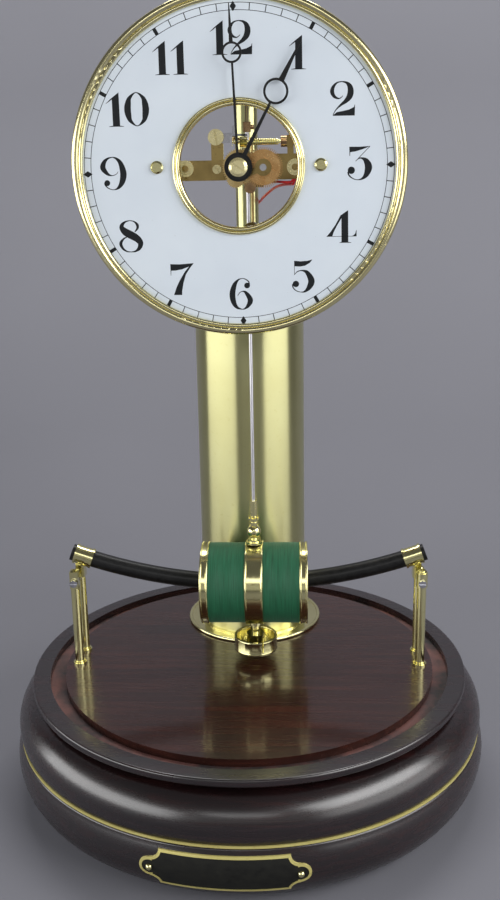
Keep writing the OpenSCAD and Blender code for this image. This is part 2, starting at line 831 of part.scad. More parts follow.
// Centre arbor with its wheel and the pipe that carries the long hand
module minute_works() {
    color([0.75, 0.55, 0.3]) translate([works_x, 0, dial_z]) {
        along_y(arbor_r, -12, -1.2);
        upright(-9, -8.2) teeth(48, train_mod, train_turn);
        along_y(1.6, -10.9, -7);
        along_y(pipe_r, -25.6, -11);
        upright(-13.4, -12.4) teeth(10, motion_mod, motion_turn);
    }
}

module hand_shape(ring_at, ring_out, ring_in, tip, hub, w0, w1, w2, turn, bore) {
    rotate(-turn) difference() {
        union() {
            circle(r = hub);
            polygon([[-w0, 0], [w0, 0], [w1, ring_at - ring_in - 0.3], [-w1, ring_at - ring_in - 0.3]]);
            polygon([[-w2, ring_at + ring_in + 0.2], [w2, ring_at + ring_in + 0.2], [0.2, tip], [-0.2, tip]]);
            translate([0, ring_at]) difference() {
                circle(r = ring_out);
                circle(r = ring_in);
            }
        }
        circle(r = bore);
    }
}

module minute_hand() {
    color([0.03, 0.03, 0.04]) translate([works_x, 0, dial_z]) {
        upright(-25.6, -25) hand_shape(52.1, 4.8, 3.8, 73.8, 5.8, 0.6, 0.5, 0.95, -2.3, pipe_r);
    }
}

module hand_cap() {
    color([0.8, 0.66, 0.36]) translate([works_x, 0, dial_z]) difference() {
        union() {
            along_y(4.5, -26.6, -25.6);
            translate([0, -26.6, 0]) rotate([90, 0, 0]) cylinder(r1 = 4.5, r2 = 3.2, h = 0.9);
        }
        rotate([0, 35, 0]) translate([-6, -28, -0.4]) cube([12, 1, 0.8]);
    }
}

// Wheel and pipe of the short hand
module hour_works() {
    color([0.78, 0.6, 0.32]) translate([works_x, 0, dial_z]) difference() {
        union() {
            upright(-14.7, -13.9) teeth(32, motion_mod, motion_turn + 5.625);
            along_y(hour_pipe_r, -24.2, -14);
        }
        along_y(pipe_r + fit, -30, -10);
    }
}

module hour_hand() {
    color([0.03, 0.03, 0.04]) translate([works_x, 0, dial_z]) upright(-24.2, -23.5)
        hand_shape(39.1, 6, 4.9, 65.1, 6.8, 1.1, 0.6, 1.4, 28.2, hour_pipe_r);
}

module motion_wheel() {
    color([0.75, 0.55, 0.3]) translate([motion_x, 0, motion_z]) difference() {
        union() {
            upright(-13.3, -12.5) teeth(30, motion_mod, motion_turn + 186);
            upright(-14.8, -13.2) teeth(8, motion_mod, motion_turn + 180);
        }
        along_y(motion_pin_r + fit, -17, -11);
    }
}

module worm_wheel() {
    color([0.62, 0.42, 0.25]) translate([stud_x, 0, stud_z]) difference() {
        union() {
            upright(-10.4, -9.2) teeth(60, (wheel_r - 0.1) / 30.7, 90, 3.3);
            upright(-9.4, -8) teeth(16, train_mod, train_turn + 180 + 11.25);
            along_y(3, -10.8, -10.3);
        }
        along_y(stud_r + fit, -12, -7);
        for (a = [0:72:288]) rotate([0, a + 20, 0]) translate([0, 0, 6]) along_y(1.7, -12, -9.3);
    }
}

module worm_arbor() {
    color([0.7, 0.7, 0.73]) translate([0, worm_y, worm_z]) {
        along_x(pivot_r, -3.4, 0);
        along_x(0.9, -1.9, 20.9);
        along_x(pivot_r, 20.5, 23.6);
        translate([1, 0, 0]) rotate([0, 90, 0]) linear_extrude(3.6) saw(20, ratchet_low, ratchet_r);
        along_x(1.5, 6, 20);
        for (k = [0:11]) translate([6.9 + k * 1.05, 0, 0]) rotate([0, 90, 0]) {
            cylinder(r1 = 1.4, r2 = worm_r, h = 0.3);
            translate([0, 0, 0.3]) cylinder(r1 = worm_r, r2 = 1.4, h = 0.3);
        }
    }
}

// Upright spindle with the fork round the contact pin and the arm that moves the pawl
module contact_lever() {
    color([0.7, 0.6, 0.4]) translate([spindle_x, spindle_y, 0]) {
        translate([0, 0, fork_z - 2]) cylinder(r = spindle_r, h = pawl_z - gap - 0.1 - fork_z + 2, $fn = 32);
        translate([0, 0, bar_z + 4.6]) cylinder(r = 1.6, h = 1.2, $fn = 32);
        translate([0, 0, fork_low]) cylinder(r = 2, h = 2, $fn = 32);
        translate([-1.2, -12.6, fork_low]) cube([2.4, 12, 2]);
        translate([-2.7, -14, fork_low]) cube([5.4, 2, 2]);
        for (s = [-1, 1]) translate([s * 2.1 - 0.6, -16.5, fork_low]) cube([1.2, 3.5, 2]);
        translate([0, 0, pawl_z - 2]) cylinder(r = 1.9, h = 1.6, $fn = 32);
        translate([-pawl_arm, -1, pawl_z - 2]) cube([pawl_arm, 2, 1.6]);
        translate([-pawl_arm, 0, pawl_z - 2]) cylinder(r = 1.7, h = 1.6, $fn = 32);
        translate([-pawl_arm, 0, pawl_z - 1]) cylinder(r = pawl_pin_r, h = 2.6, $fn = 32);
    }
}

module drive_pawl() {
    color([0.12, 0.12, 0.15]) difference() {
        union() {
            translate([pawl_x, spindle_y, pawl_z]) cylinder(r = 1.7, h = 0.8, $fn = 32);
            translate([pawl_x - 0.6, -2.6, pawl_z]) cube([1.2, spindle_y + 2.6, 0.8]);
            translate([pawl_x - 0.6, -2.8, pawl_z]) cube([8.4, 1.2, 0.8]);
            translate([3, -10.6, pawl_z]) cube([1.3, 9, 0.8]);
        }
        translate([pawl_x, spindle_y, pawl_z - 1]) cylinder(r = pawl_pin_r + fit, h = 3, $fn = 32);
    }
}

module suspension_ribbon() {
    low = rod_top + 4.5;
    color([0.5, 0.32, 0.22]) for (s = [-1, 1])
        translate([pend_x + s * 0.5 - 0.15, swing_y - 2, low]) cube([0.3, 4, pivot_z + 4.4 - low]);
}

module rod_top_block() {
    color([0.7, 0.45, 0.28]) translate([pend_x, swing_y, rod_top]) difference() {
        union() {
            translate([-1.9, -1.6, 0]) cube([3.8, 3.2, 5]);
            translate([0.6, 0, 2.4]) along_x(1.1, 0, 3);
        }
        for (s = [-1, 1]) translate([s * 0.5 - 0.15, -2, 4.5]) cube([0.3, 4, 2]);
        translate([0, 0, -1]) cylinder(r = rod_radius, h = 4, $fn = 32);
    }
}

module pendulum_rod() {
    color([0.72, 0.72, 0.74]) translate([pend_x, swing_y, band_top + 2])
        cylinder(r = rod_radius, h = rod_top + 3 - band_top - 2, $fn = 32);
}

// Round block clamped on the rod, its rear pin works the fork
module contact_block() {
    color([0.8, 0.6, 0.32]) difference() {
        union() {
            translate([spindle_x, 0, fork_z]) along_y(4, 0.4, 6.4);
            translate([spindle_x, 0, fork_z]) along_y(0.8, 6, 9.2);
            translate([spindle_x, 0, fork_z]) along_y(2, -0.4, 1);
        }
        translate([pend_x, swing_y, fork_z - 8]) cylinder(r = rod_radius, h = 16, $fn = 32);
    }
}

// Turned foot between the rod and the coil band
module rod_finial() {
    color([0.8, 0.65, 0.32]) translate([pend_x, swing_y, band_top]) difference() {
        union() {
            rotate_extrude($fn = 48) {
                square([4.6, 1.2]);
                square([3.4, 2.6]);
                square([1.9, 25]);
                intersection() {
                    translate([0, 7]) circle(r = 3.8);
                    square([4, 12]);
                }
                translate([0, 11.6]) square([2.3, 1]);
                translate([0, 14.2]) square([3, 0.8]);
            }
            for (a = [0:60:300]) rotate([0, 0, a]) translate([2.6, 0, 14.4])
                cylinder(r = 0.5, h = 1.6, $fn = 12);
        }
        translate([0, 0, 2]) cylinder(r = rod_radius, h = 30, $fn = 32);
    }
}

module bobbin() {
    color([0.78, 0.63, 0.32]) translate([pend_x, swing_y, coil_z]) rotate([0, 90, 0])
        rotate_extrude($fn = 96) {
            translate([bore_r, -half_long]) square([1, 2 * half_long]);
            for (s = [-1, 1]) translate([0, s * (half_long - end_wide / 2)]) {
                translate([bore_r, -end_wide / 2]) square([bobbin_radius - bore_r - 0.5, end_wide]);
                for (t = [-1, 1]) translate([bobbin_radius - 0.7, t * (end_wide / 2 - 0.6)]) circle(r = 0.6);
            }
        }
}

// Silk-covered winding between two places along the bobbin
module winding(x0, x1) {
    color([0.2, 0.42, 0.28]) translate([pend_x, swing_y, coil_z]) difference() {
        along_x(wind_r, x0, x1);
        along_x(bore_r + 1, x0 - 1, x1 + 1);
    }
}

module winding_left() {
    winding(end_wide - half_long, -band_half);
}

module winding_right() {
    winding(band_half, half_long - end_wide);
}

// Band round the middle of the coil with the threaded stem for the rating cup
module centre_band() {
    color([0.8, 0.65, 0.32]) translate([pend_x, swing_y, coil_z]) {
        rotate([0, 90, 0]) rotate_extrude($fn = 96) {
            translate([bore_r + 1, -band_half]) square([bobbin_radius - bore_r - 1, 2 * band_half]);
            for (s = [-1, 1]) translate([bobbin_radius - 0.2, s * (band_half - 0.6)]) circle(r = 0.6);
        }
        difference() {
            translate([0, 0, -bobbin_radius - 2.2]) cylinder(r = 3.6, h = 4, $fn = 32);
            along_x(bobbin_radius - 1, -10, 10);
        }
        translate([0, 0, cup_low - 1.5 - coil_z])
            cylinder(r = stem_r, h = coil_z - bobbin_radius - cup_low + 1, $fn = 32);
    }
}

// Split cup that screws up and down on the stem
module rating_nut() {
    color([0.8, 0.65, 0.32]) translate([pend_x, swing_y, cup_low]) difference() {
        rotate_extrude($fn = 96) {
            translate([stem_r + fit, 0]) square([2.6, cup_high - cup_low + 1.2]);
            translate([4, 0]) square([cup_radius - 5, 1.2]);
            translate([cup_radius - 1.5, 0]) square([1.1, cup_high - cup_low]);
            translate([cup_radius - 1, 0.7]) circle(r = 0.7);
            translate([cup_radius - 1, cup_high - cup_low - 0.7]) circle(r = 0.7);
        }
        translate([4, -14, 1.8]) cube([0.8, 14, 9]);
    }
}

baize_pad();
bottom_cover();
base_moulding();
top_board();
brass_inlay_ring();
name_plate();
plate_pins();
column_flange();
flange_screws();
column_tube();
battery_cell();
column_cap();
upper_pillar();
bar_magnet();
magnet_collar_left();
magnet_collar_right();
bracket_posts_left();
bracket_posts_right();
bracket_screws();
post_nuts();
movement_yoke();
cross_bar();
bar_nuts();
dial_pillars();
worm_bracket();
bearing_screw();
left_post();
pivot_cock();
click_spring();
post_screws();
wheel_stud();
motion_bridge();
spindle_bracket();
bracket_bush();
red_lead();
suspension_cock();
dial_plate();
bezel_ring();
inner_ring();
dial_screws();
minute_works();
minute_hand();
hand_cap();
hour_works();
hour_hand();
motion_wheel();
worm_wheel();
worm_arbor();
contact_lever();
drive_pawl();
suspension_ribbon();
rod_top_block();
pendulum_rod();
contact_block();
rod_finial();
bobbin();
winding_left();
winding_right();
centre_band();
rating_nut();
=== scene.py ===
import json
import math

import bmesh
import bpy
from mathutils import Matrix, Vector


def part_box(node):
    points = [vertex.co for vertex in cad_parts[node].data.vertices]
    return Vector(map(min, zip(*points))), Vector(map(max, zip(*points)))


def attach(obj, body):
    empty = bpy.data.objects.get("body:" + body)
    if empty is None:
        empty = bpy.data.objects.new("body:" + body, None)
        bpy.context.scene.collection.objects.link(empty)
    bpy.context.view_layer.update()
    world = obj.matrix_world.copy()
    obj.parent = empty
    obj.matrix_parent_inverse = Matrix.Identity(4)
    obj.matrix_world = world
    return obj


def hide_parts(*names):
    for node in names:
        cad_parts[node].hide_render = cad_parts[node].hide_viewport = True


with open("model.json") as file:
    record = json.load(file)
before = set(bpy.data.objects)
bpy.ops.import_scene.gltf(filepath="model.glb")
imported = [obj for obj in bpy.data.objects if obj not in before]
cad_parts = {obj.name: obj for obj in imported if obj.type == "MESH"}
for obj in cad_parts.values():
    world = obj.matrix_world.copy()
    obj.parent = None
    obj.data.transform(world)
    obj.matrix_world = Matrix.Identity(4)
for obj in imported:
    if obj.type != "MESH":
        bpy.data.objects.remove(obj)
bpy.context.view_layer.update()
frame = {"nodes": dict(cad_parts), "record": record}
nodes = frame["nodes"]
record = frame["record"]
mm = 0.001
print("frame loaded, pieces:", len(nodes))


# the camera comes first, everything is judged through it
cameraSettings = {
    "place": (0.02955, -0.54747, 0.34478),
    "turn": -2.80,       # degrees to the left
    "tilt": -15.66,      # degrees down
    "roll": -1.05,
    "lens": 41.91,       # lens and sensor in millimetres
    "sensor": 36,
    "near": 0.01,
}


def makeCamera(s):
    turn, tilt, roll = (math.radians(s[k]) for k in ("turn", "tilt", "roll"))
    flat = math.cos(tilt)
    ahead = Vector((math.sin(turn) * flat, math.cos(turn) * flat, math.sin(tilt)))
    level = Vector((math.cos(turn), -math.sin(turn), 0))
    upright = level.cross(ahead)
    right = math.cos(roll) * level + math.sin(roll) * upright
    up = -math.sin(roll) * level + math.cos(roll) * upright
    data = bpy.data.cameras.new("clockCamera")
    data.lens = s["lens"]
    data.sensor_width = s["sensor"]
    data.clip_start = s["near"]
    cam = bpy.data.objects.new("clockCamera", data)
    bpy.context.scene.collection.objects.link(cam)
    grid = Matrix((right, up, -ahead)).transposed().to_4x4()
    grid.translation = Vector(s["place"])
    cam.matrix_world = grid
    bpy.context.scene.camera = cam


makeCamera(cameraSettings)


# small helpers for node materials
def startMaterial(name):
    mat = bpy.data.materials.new(name)
    mat.use_nodes = True
    tree = mat.node_tree
    shader = tree.nodes["Principled BSDF"]
    place = tree.nodes.new("ShaderNodeTexCoord").outputs["Object"]
    return mat, tree, shader, place


def setInputs(node, values):
    for name, value in values.items():
        node.inputs[name].default_value = value


def stretched(tree, place, scale):
    move = tree.nodes.new("ShaderNodeMapping")
    setInputs(move, {"Scale": scale})
    tree.links.new(place, move.inputs["Vector"])
    return move.outputs["Vector"]


def noiseOf(tree, place, scale, detail, rough=0.55, twist=0.0):
    n = tree.nodes.new("ShaderNodeTexNoise")
    setInputs(n, {"Scale": scale, "Detail": detail, "Roughness": rough, "Distortion": twist})
    tree.links.new(place, n.inputs["Vector"])
    return n.outputs["Fac"]


def bandsOf(tree, place, period):
    # one band a period; at a scale of one the texture turns twenty radians in a metre
    w = tree.nodes.new("ShaderNodeTexWave")
    w.bands_direction = "X"
    setInputs(w, {"Scale": 2 * math.pi / (20 * period)})
    tree.links.new(place, w.inputs["Vector"])
    return w.outputs["Fac"]


def rampOf(tree, value, stops):
    r = tree.nodes.new("ShaderNodeValToRGB")
    band = r.color_ramp
    while len(band.elements) < len(stops):
        band.elements.new(0.5)
    for e, (at, colour) in zip(band.elements, stops):
        e.position = at
        e.color = (*colour, 1)
    tree.links.new(value, r.inputs["Fac"])
    return r.outputs["Color"]


def grey(v):
    return (v, v, v)


def greyRamp(tree, value, stops):
    return rampOf(tree, value, [(at, grey(level)) for at, level in stops])


def mixOf(tree, share, a, b, mode="MIX"):
    m = tree.nodes.new("ShaderNodeMix")
    m.data_type = "RGBA"
    m.blend_type = mode
    # the node's colour sockets can only be told apart by number
    for socket, value in ((m.inputs[0], share), (m.inputs[6], a), (m.inputs[7], b)):
        if isinstance(value, bpy.types.NodeSocket):
            tree.links.new(value, socket)
        else:
            socket.default_value = (*value, 1) if isinstance(value, tuple) else value
    return m.outputs[2]


def bumpOf(tree, height, strength, distance, under=None):
    b = tree.nodes.new("ShaderNodeBump")
    setInputs(b, {"Strength": strength, "Distance": distance})
    tree.links.new(height, b.inputs["Height"])
    if under is not None:
        tree.links.new(under, b.inputs["Normal"])
    return b.outputs["Normal"]


# metals: cloudy patches, fine grain or brush marks, and a few darker spots
brassSettings = {
    "polishedBrass": {
        "patchScale": 24, "grainScale": 500, "brush": (1, 1, 1), "spotScale": 420,
        "dark": (0.77, 0.71, 0.35), "light": (0.84, 0.79, 0.42), "spot": (0.70, 0.60, 0.28),
        "rough": (0.15, 0.20), "bump": 0.02, "coat": 0.1,
    },
    "tubeBrass": {
        "patchScale": 24, "grainScale": 500, "brush": (1, 1, 1), "spotScale": 420,
        "dark": (0.61, 0.58, 0.28), "light": (0.66, 0.64, 0.33), "spot": (0.60, 0.57, 0.27),
        "rough": (0.29, 0.32), "bump": 0.005, "coat": 0.0, "drawn": 0.92,
    },
    "plateBrass": {
        "patchScale": 60, "grainScale": 500, "brush": (1, 1, 1), "spotScale": 420,
        "dark": (0.76, 0.66, 0.22), "light": (0.84, 0.75, 0.28), "spot": (0.68, 0.56, 0.20),
        "rough": (0.30, 0.42), "bump": 0.05, "coat": 0.0, "metal": 0.45,
    },
    "giltBrass": {
        "patchScale": 60, "grainScale": 700, "brush": (1, 1, 1), "spotScale": 500,
        "dark": (0.74, 0.63, 0.30), "light": (0.88, 0.80, 0.46), "spot": (0.66, 0.55, 0.26),
        "rough": (0.22, 0.30), "bump": 0.02, "coat": 0.1, "metal": 0.7,
    },
    "spunBrass": {
        "patchScale": 24, "grainScale": 200, "brush": (1, 1, 1), "spotScale": 420,
        "dark": (0.80, 0.72, 0.38), "light": (0.86, 0.80, 0.46), "spot": (0.78, 0.70, 0.36),
        "rough": (0.16, 0.20), "bump": 0.0, "coat": 0.0,
    },
    "rodSteel": {
        "patchScale": 60, "grainScale": 900, "brush": (1, 1, 0.1), "spotScale": 700,
        "dark": (0.74, 0.73, 0.76), "light": (0.86, 0.85, 0.88), "spot": (0.66, 0.64, 0.64),
        "rough": (0.30, 0.38), "bump": 0.03, "coat": 0.3,
    },
    "dullBrass": {
        "patchScale": 45, "grainScale": 700, "brush": (0.2, 1, 1), "spotScale": 500,
        "dark": (0.20, 0.13, 0.045), "light": (0.52, 0.38, 0.14), "spot": (0.20, 0.13, 0.045),
        "rough": (0.12, 0.22), "bump": 0.05, "coat": 0.1,
    },
    "wheelBrass": {
        "patchScale": 200, "grainScale": 1200, "brush": (1, 1, 1), "spotScale": 900,
        "dark": (0.66, 0.46, 0.18), "light": (0.84, 0.64, 0.30), "spot": (0.58, 0.39, 0.15),
        "rough": (0.16, 0.28), "bump": 0.02, "coat": 0.0,
    },
    "copperBrass": {
        "patchScale": 200, "grainScale": 1200, "brush": (1, 1, 1), "spotScale": 900,
        "dark": (0.66, 0.36, 0.13), "light": (0.86, 0.54, 0.23), "spot": (0.54, 0.28, 0.10),
        "rough": (0.18, 0.30), "bump": 0.02, "coat": 0.0,
    },
    "darkBronze": {
        "patchScale": 300, "grainScale": 1200, "brush": (1, 1, 1), "spotScale": 700,
        "dark": (0.28, 0.16, 0.08), "light": (0.54, 0.36, 0.18), "spot": (0.18, 0.09, 0.05),
        "rough": (0.16, 0.30), "bump": 0.06, "coat": 0.1,
    },
    "steel": {
        "patchScale": 200, "grainScale": 1400, "brush": (1, 1, 0.1), "spotScale": 700,
        "dark": (0.46, 0.46, 0.49), "light": (0.70, 0.70, 0.73), "spot": (0.38, 0.35, 0.34),
        "rough": (0.12, 0.26), "bump": 0.08, "coat": 0.0,
    },
    "bluedSteel": {
        "patchScale": 300, "grainScale": 1400, "brush": (1, 1, 1), "spotScale": 700,
        "dark": (0.015, 0.017, 0.03), "light": (0.05, 0.055, 0.09), "spot": (0.03, 0.02, 0.02),
        "rough": (0.25, 0.4), "bump": 0.12, "coat": 0.2,
    },
    "zincCan": {
        "patchScale": 70, "grainScale": 500, "brush": (1, 1, 1), "spotScale": 120,
        "dark": (0.36, 0.37, 0.39), "light": (0.52, 0.53, 0.55), "spot": (0.28, 0.28, 0.29),
        "rough": (0.4, 0.6), "bump": 0.3, "coat": 0.0,
    },
}


def brassMaterial(name):
    s = brassSettings[name]
    mat, tree, shader, place = startMaterial(name)
    patches = noiseOf(tree, place, s["patchScale"], detail=3)
    brushed = stretched(tree, place, s["brush"])
    grain = noiseOf(tree, brushed, s["grainScale"], detail=5, rough=0.6)
    colour = rampOf(tree, patches, [(0.3, s["dark"]), (0.7, s["light"])])
    specks = noiseOf(tree, place, s["spotScale"], detail=2)
    spots = greyRamp(tree, specks, [(0.62, 0), (0.78, 1)])
    colour = mixOf(tree, spots, colour, s["spot"])
    tree.links.new(colour, shader.inputs["Base Color"])
    low, high = s["rough"]
    tree.links.new(greyRamp(tree, grain, [(0.3, low), (0.75, high)]), shader.inputs["Roughness"])
    tree.links.new(bumpOf(tree, grain, s["bump"], distance=0.0001), shader.inputs["Normal"])
    setInputs(shader, {
        "Metallic": s.get("metal", 1), "Coat Weight": s["coat"], "Coat Roughness": 0.1,
    })
    if "drawn" in s:
        # turned on a lathe, so its highlights are drawn out up and down
        upright = tree.nodes.new("ShaderNodeCombineXYZ")
        setInputs(upright, {"Z": 1})
        tree.links.new(upright.outputs["Vector"], shader.inputs["Tangent"])
        setInputs(shader, {"Anisotropic": s["drawn"]})
    return mat


woodSettings = {
    "polishedMahogany": {
        "grain": (14, 90, 260), "deep": (0.004, 0.0012, 0.0015),
        "mid": (0.011, 0.0032, 0.0036), "warm": (0.032, 0.008, 0.007),
        "rough": (0.24, 0.31), "coat": 0.2, "coatRough": 0.2, "shine": 0.95,
        "worn": (0.150, 0.048, 0.036), "wornRough": 0.7,
        "groove": 0.0618, "grooveSlack": 0.0003,    # height of its bottom in metres
    },
    "polishedBoard": {
        "grain": (9, 150, 150), "deep": (0.022, 0.007, 0.005),
        "mid": (0.042, 0.012, 0.008), "warm": (0.085, 0.024, 0.015),
        "rough": (0.22, 0.34), "coat": 0.65, "coatRough": 0.11, "shine": 0.3,
    },
    "plainWood": {
        "grain": (9, 120, 120), "deep": (0.05, 0.022, 0.012),
        "mid": (0.10, 0.045, 0.022), "warm": (0.16, 0.08, 0.04),
        "rough": (0.5, 0.7), "coat": 0.0, "coatRough": 0.3, "shine": 0.5,
    },
}


def woodMaterial(name):
    s = woodSettings[name]
    mat, tree, shader, place = startMaterial(name)
    along = stretched(tree, place, s["grain"])
    lines = noiseOf(tree, along, 1.6, detail=6, rough=0.62, twist=0.6)
    # the pores run the same way as the grain and are seven times finer
    fineAlong = stretched(tree, place, tuple(v * 7 for v in s["grain"]))
    pores = noiseOf(tree, fineAlong, 2.2, detail=4, rough=0.6)
    figure = noiseOf(tree, place, 14, detail=3, rough=0.5, twist=0.8)
    colour = rampOf(tree, lines, [(0.25, s["deep"]), (0.5, s["mid"]), (0.78, s["warm"])])
    dark = greyRamp(tree, pores, [(0.3, 1), (0.42, 0)])
    colour = mixOf(tree, dark, colour, s["deep"])
    shade = greyRamp(tree, figure, [(0.3, 0.55), (0.75, 1)])
    colour = mixOf(tree, 1.0, colour, shade, "MULTIPLY")
    low, high = s["rough"]
    rough = greyRamp(tree, lines, [(0.2, high), (0.8, low)])
    if "groove" in s:
        # bare reddish wood where the dome's rim has worn the bottom of its groove
        level = tree.nodes.new("ShaderNodeSeparateXYZ")
        tree.links.new(place, level.inputs["Vector"])
        floor = tree.nodes.new("ShaderNodeMath")
        floor.operation = "COMPARE"
        floor.inputs[1].default_value = s["groove"]
        floor.inputs[2].default_value = s["grooveSlack"]
        tree.links.new(level.outputs["Z"], floor.inputs[0])
        wear = noiseOf(tree, place, 42, detail=5, rough=0.7)
        scuff = rampOf(tree, wear, [(0.38, s["mid"]), (0.62, s["worn"])])
        colour = mixOf(tree, floor.outputs[0], colour, scuff)
        rough = mixOf(tree, floor.outputs[0], rough, grey(s["wornRough"]))
        bare = tree.nodes.new("ShaderNodeMath")
        bare.operation = "MULTIPLY_ADD"
        bare.inputs[1].default_value = -s["coat"]
        bare.inputs[2].default_value = s["coat"]
        tree.links.new(floor.outputs[0], bare.inputs[0])
        tree.links.new(bare.outputs[0], shader.inputs["Coat Weight"])
    else:
        setInputs(shader, {"Coat Weight": s["coat"]})
    tree.links.new(colour, shader.inputs["Base Color"])
    tree.links.new(rough, shader.inputs["Roughness"])
    fine = noiseOf(tree, place, 180, detail=3)
    dents = bumpOf(tree, pores, 0.025, distance=0.0002)
    ripple = bumpOf(tree, fine, 0.03, distance=0.0003, under=dents)
    tree.links.new(ripple, shader.inputs["Normal"])
    setInputs(shader, {"Coat Roughness": s["coatRough"], "Specular IOR Level": s["shine"]})
    return mat


enamelSettings = {
    "low": (0.70, 0.77, 0.84), "high": (0.75, 0.82, 0.88), "speck": (0.56, 0.60, 0.62),
    "rough": (0.16, 0.26), "bump": 0.05, "coat": 0.4, "coatRough": 0.1,
}


def enamelMaterial(name):
    s = enamelSettings
    mat, tree, shader, place = startMaterial(name)
    cloud = noiseOf(tree, place, 26, detail=3)
    specks = noiseOf(tree, place, 900, detail=2)
    colour = rampOf(tree, cloud, [(0.3, s["low"]), (0.7, s["high"])])
    dirt = greyRamp(tree, specks, [(0.74, 0), (0.80, 1)])
    tree.links.new(mixOf(tree, dirt, colour, s["speck"]), shader.inputs["Base Color"])
    low, high = s["rough"]
    tree.links.new(greyRamp(tree, cloud, [(0.3, low), (0.7, high)]), shader.inputs["Roughness"])
    waves = noiseOf(tree, place, 60, detail=2)
    tree.links.new(bumpOf(tree, waves, s["bump"], distance=0.0004), shader.inputs["Normal"])
    setInputs(shader, {"Coat Weight": s["coat"], "Coat Roughness": s["coatRough"]})
    return mat


paintSettings = {
    "blackMagnet": {
        "low": (0.004, 0.004, 0.004), "high": (0.010, 0.010, 0.010), "rough": (0.36, 0.48),
        "scale": 500, "bump": 0.3, "coat": 0.08,
    },
    "redCover": {
        "low": (0.50, 0.012, 0.02), "high": (0.62, 0.03, 0.035), "rough": (0.32, 0.45),
        "scale": 500, "bump": 0.3, "coat": 0.2,
    },
    "blackHands": {
        "low": (0.004, 0.004, 0.004), "high": (0.009, 0.009, 0.009), "rough": (0.38, 0.5),
        "scale": 400, "bump": 0.1, "coat": 0.05,
    },
    "blackInk": {
        "low": (0.003, 0.005, 0.007), "high": (0.008, 0.010, 0.012), "rough": (0.5, 0.65),
        "scale": 600, "bump": 0.1, "coat": 0.0,
    },
    "blackGround": {
        "low": (0.006, 0.006, 0.005), "high": (0.013, 0.013, 0.010), "rough": (0.6, 0.75),
        "scale": 300, "bump": 0.3, "coat": 0.0,
    },
}


def paintMaterial(name):
    s = paintSettings[name]
    mat, tree, shader, place = startMaterial(name)
    brushed = noiseOf(tree, place, s["scale"], detail=4)
    colour = rampOf(tree, brushed, [(0.3, s["low"]), (0.7, s["high"])])
    tree.links.new(colour, shader.inputs["Base Color"])
    low, high = s["rough"]
    tree.links.new(greyRamp(tree, brushed, [(0.3, low), (0.7, high)]), shader.inputs["Roughness"])
    fine = noiseOf(tree, place, s["scale"] * 3, detail=3)
    tree.links.new(bumpOf(tree, fine, s["bump"], distance=0.0001), shader.inputs["Normal"])
    setInputs(shader, {
        "Specular IOR Level": 0.3, "Coat Weight": s["coat"], "Coat Roughness": 0.15,
    })
    return mat


silkSettings = {
    "thread": 0.00042,   # width of one covered wire in metres
    "lay": (2200, 60, 60), "strand": (300, 2600, 2600),    # how their noise is stretched
    "dark": (0.004, 0.075, 0.030), "light": (0.014, 0.155, 0.068), "sheen": (0.45, 0.8, 0.55, 1),
}


def silkMaterial(name):
    s = silkSettings
    mat, tree, shader, place = startMaterial(name)
    threadsAndCreaseShade = bandsOf(tree, place, s["thread"])
    lay = noiseOf(tree, stretched(tree, place, s["lay"]), 1.0, detail=3)
    colour = rampOf(tree, lay, [(0.3, s["dark"]), (0.7, s["light"])])
    # painted shade: each turn of wire is darkened towards the crease between it and the next
    shade = greyRamp(tree, threadsAndCreaseShade, [(0.0, 0.6), (0.6, 1)])
    tree.links.new(mixOf(tree, 1.0, colour, shade, "MULTIPLY"), shader.inputs["Base Color"])
    strands = noiseOf(tree, stretched(tree, place, s["strand"]), 1.0, detail=2)
    fibres = bumpOf(tree, strands, 0.15, distance=0.00008)
    wires = bumpOf(tree, threadsAndCreaseShade, 0.3, distance=0.0001, under=fibres)
    tree.links.new(wires, shader.inputs["Normal"])
    setInputs(shader, {
        "Roughness": 0.62, "Sheen Weight": 0.25, "Sheen Roughness": 0.4,
        "Sheen Tint": s["sheen"],
    })
    return mat


clothSettings = {
    "greenBaize": {"dark": (0.02, 0.05, 0.03), "light": (0.05, 0.11, 0.06)},
    "brownRibbon": {"dark": (0.16, 0.07, 0.04), "light": (0.32, 0.17, 0.10)},
}


def clothMaterial(name):
    s = clothSettings[name]
    mat, tree, shader, place = startMaterial(name)
    nap = noiseOf(tree, place, 1800, detail=4, rough=0.7)
    patch = noiseOf(tree, place, 40, detail=3)
    colour = mixOf(tree, nap, s["dark"], s["light"])
    shade = greyRamp(tree, patch, [(0.3, 0.7), (0.7, 1)])
    tree.links.new(mixOf(tree, 1.0, colour, shade, "MULTIPLY"), shader.inputs["Base Color"])
    tree.links.new(bumpOf(tree, nap, 0.6, distance=0.0004), shader.inputs["Normal"])
    setInputs(shader, {"Roughness": 0.95, "Sheen Weight": 0.4})
    return mat


# the usual finish of every slot, then the pieces that have one of their own
finishes = {
    "green_cloth": clothMaterial("greenBaize"),
    "plain_wood": woodMaterial("plainWood"),
    "polished_mahogany": woodMaterial("polishedMahogany"),
    "polished_board": woodMaterial("polishedBoard"),
    "polished_brass": brassMaterial("polishedBrass"),
    "plate_brass": brassMaterial("plateBrass"),
    "dull_brass": brassMaterial("dullBrass"),
    "wheel_brass": brassMaterial("wheelBrass"),
    "copper_brass": brassMaterial("copperBrass"),
    "bronze": brassMaterial("darkBronze"),
    "steel": brassMaterial("steel"),
    "blued_steel": brassMaterial("bluedSteel"),
    "zinc": brassMaterial("zincCan"),
    "black_steel": paintMaterial("blackMagnet"),
    "red_cover": paintMaterial("redCover"),
    "white_enamel": enamelMaterial("whiteEnamel"),
    "black_paint": paintMaterial("blackHands"),
    "brown_ribbon": clothMaterial("brownRibbon"),
    "green_silk": silkMaterial("greenSilk"),
}
tubeBrass = brassMaterial("tubeBrass")
giltBrass = brassMaterial("giltBrass")
spunBrass = brassMaterial("spunBrass")
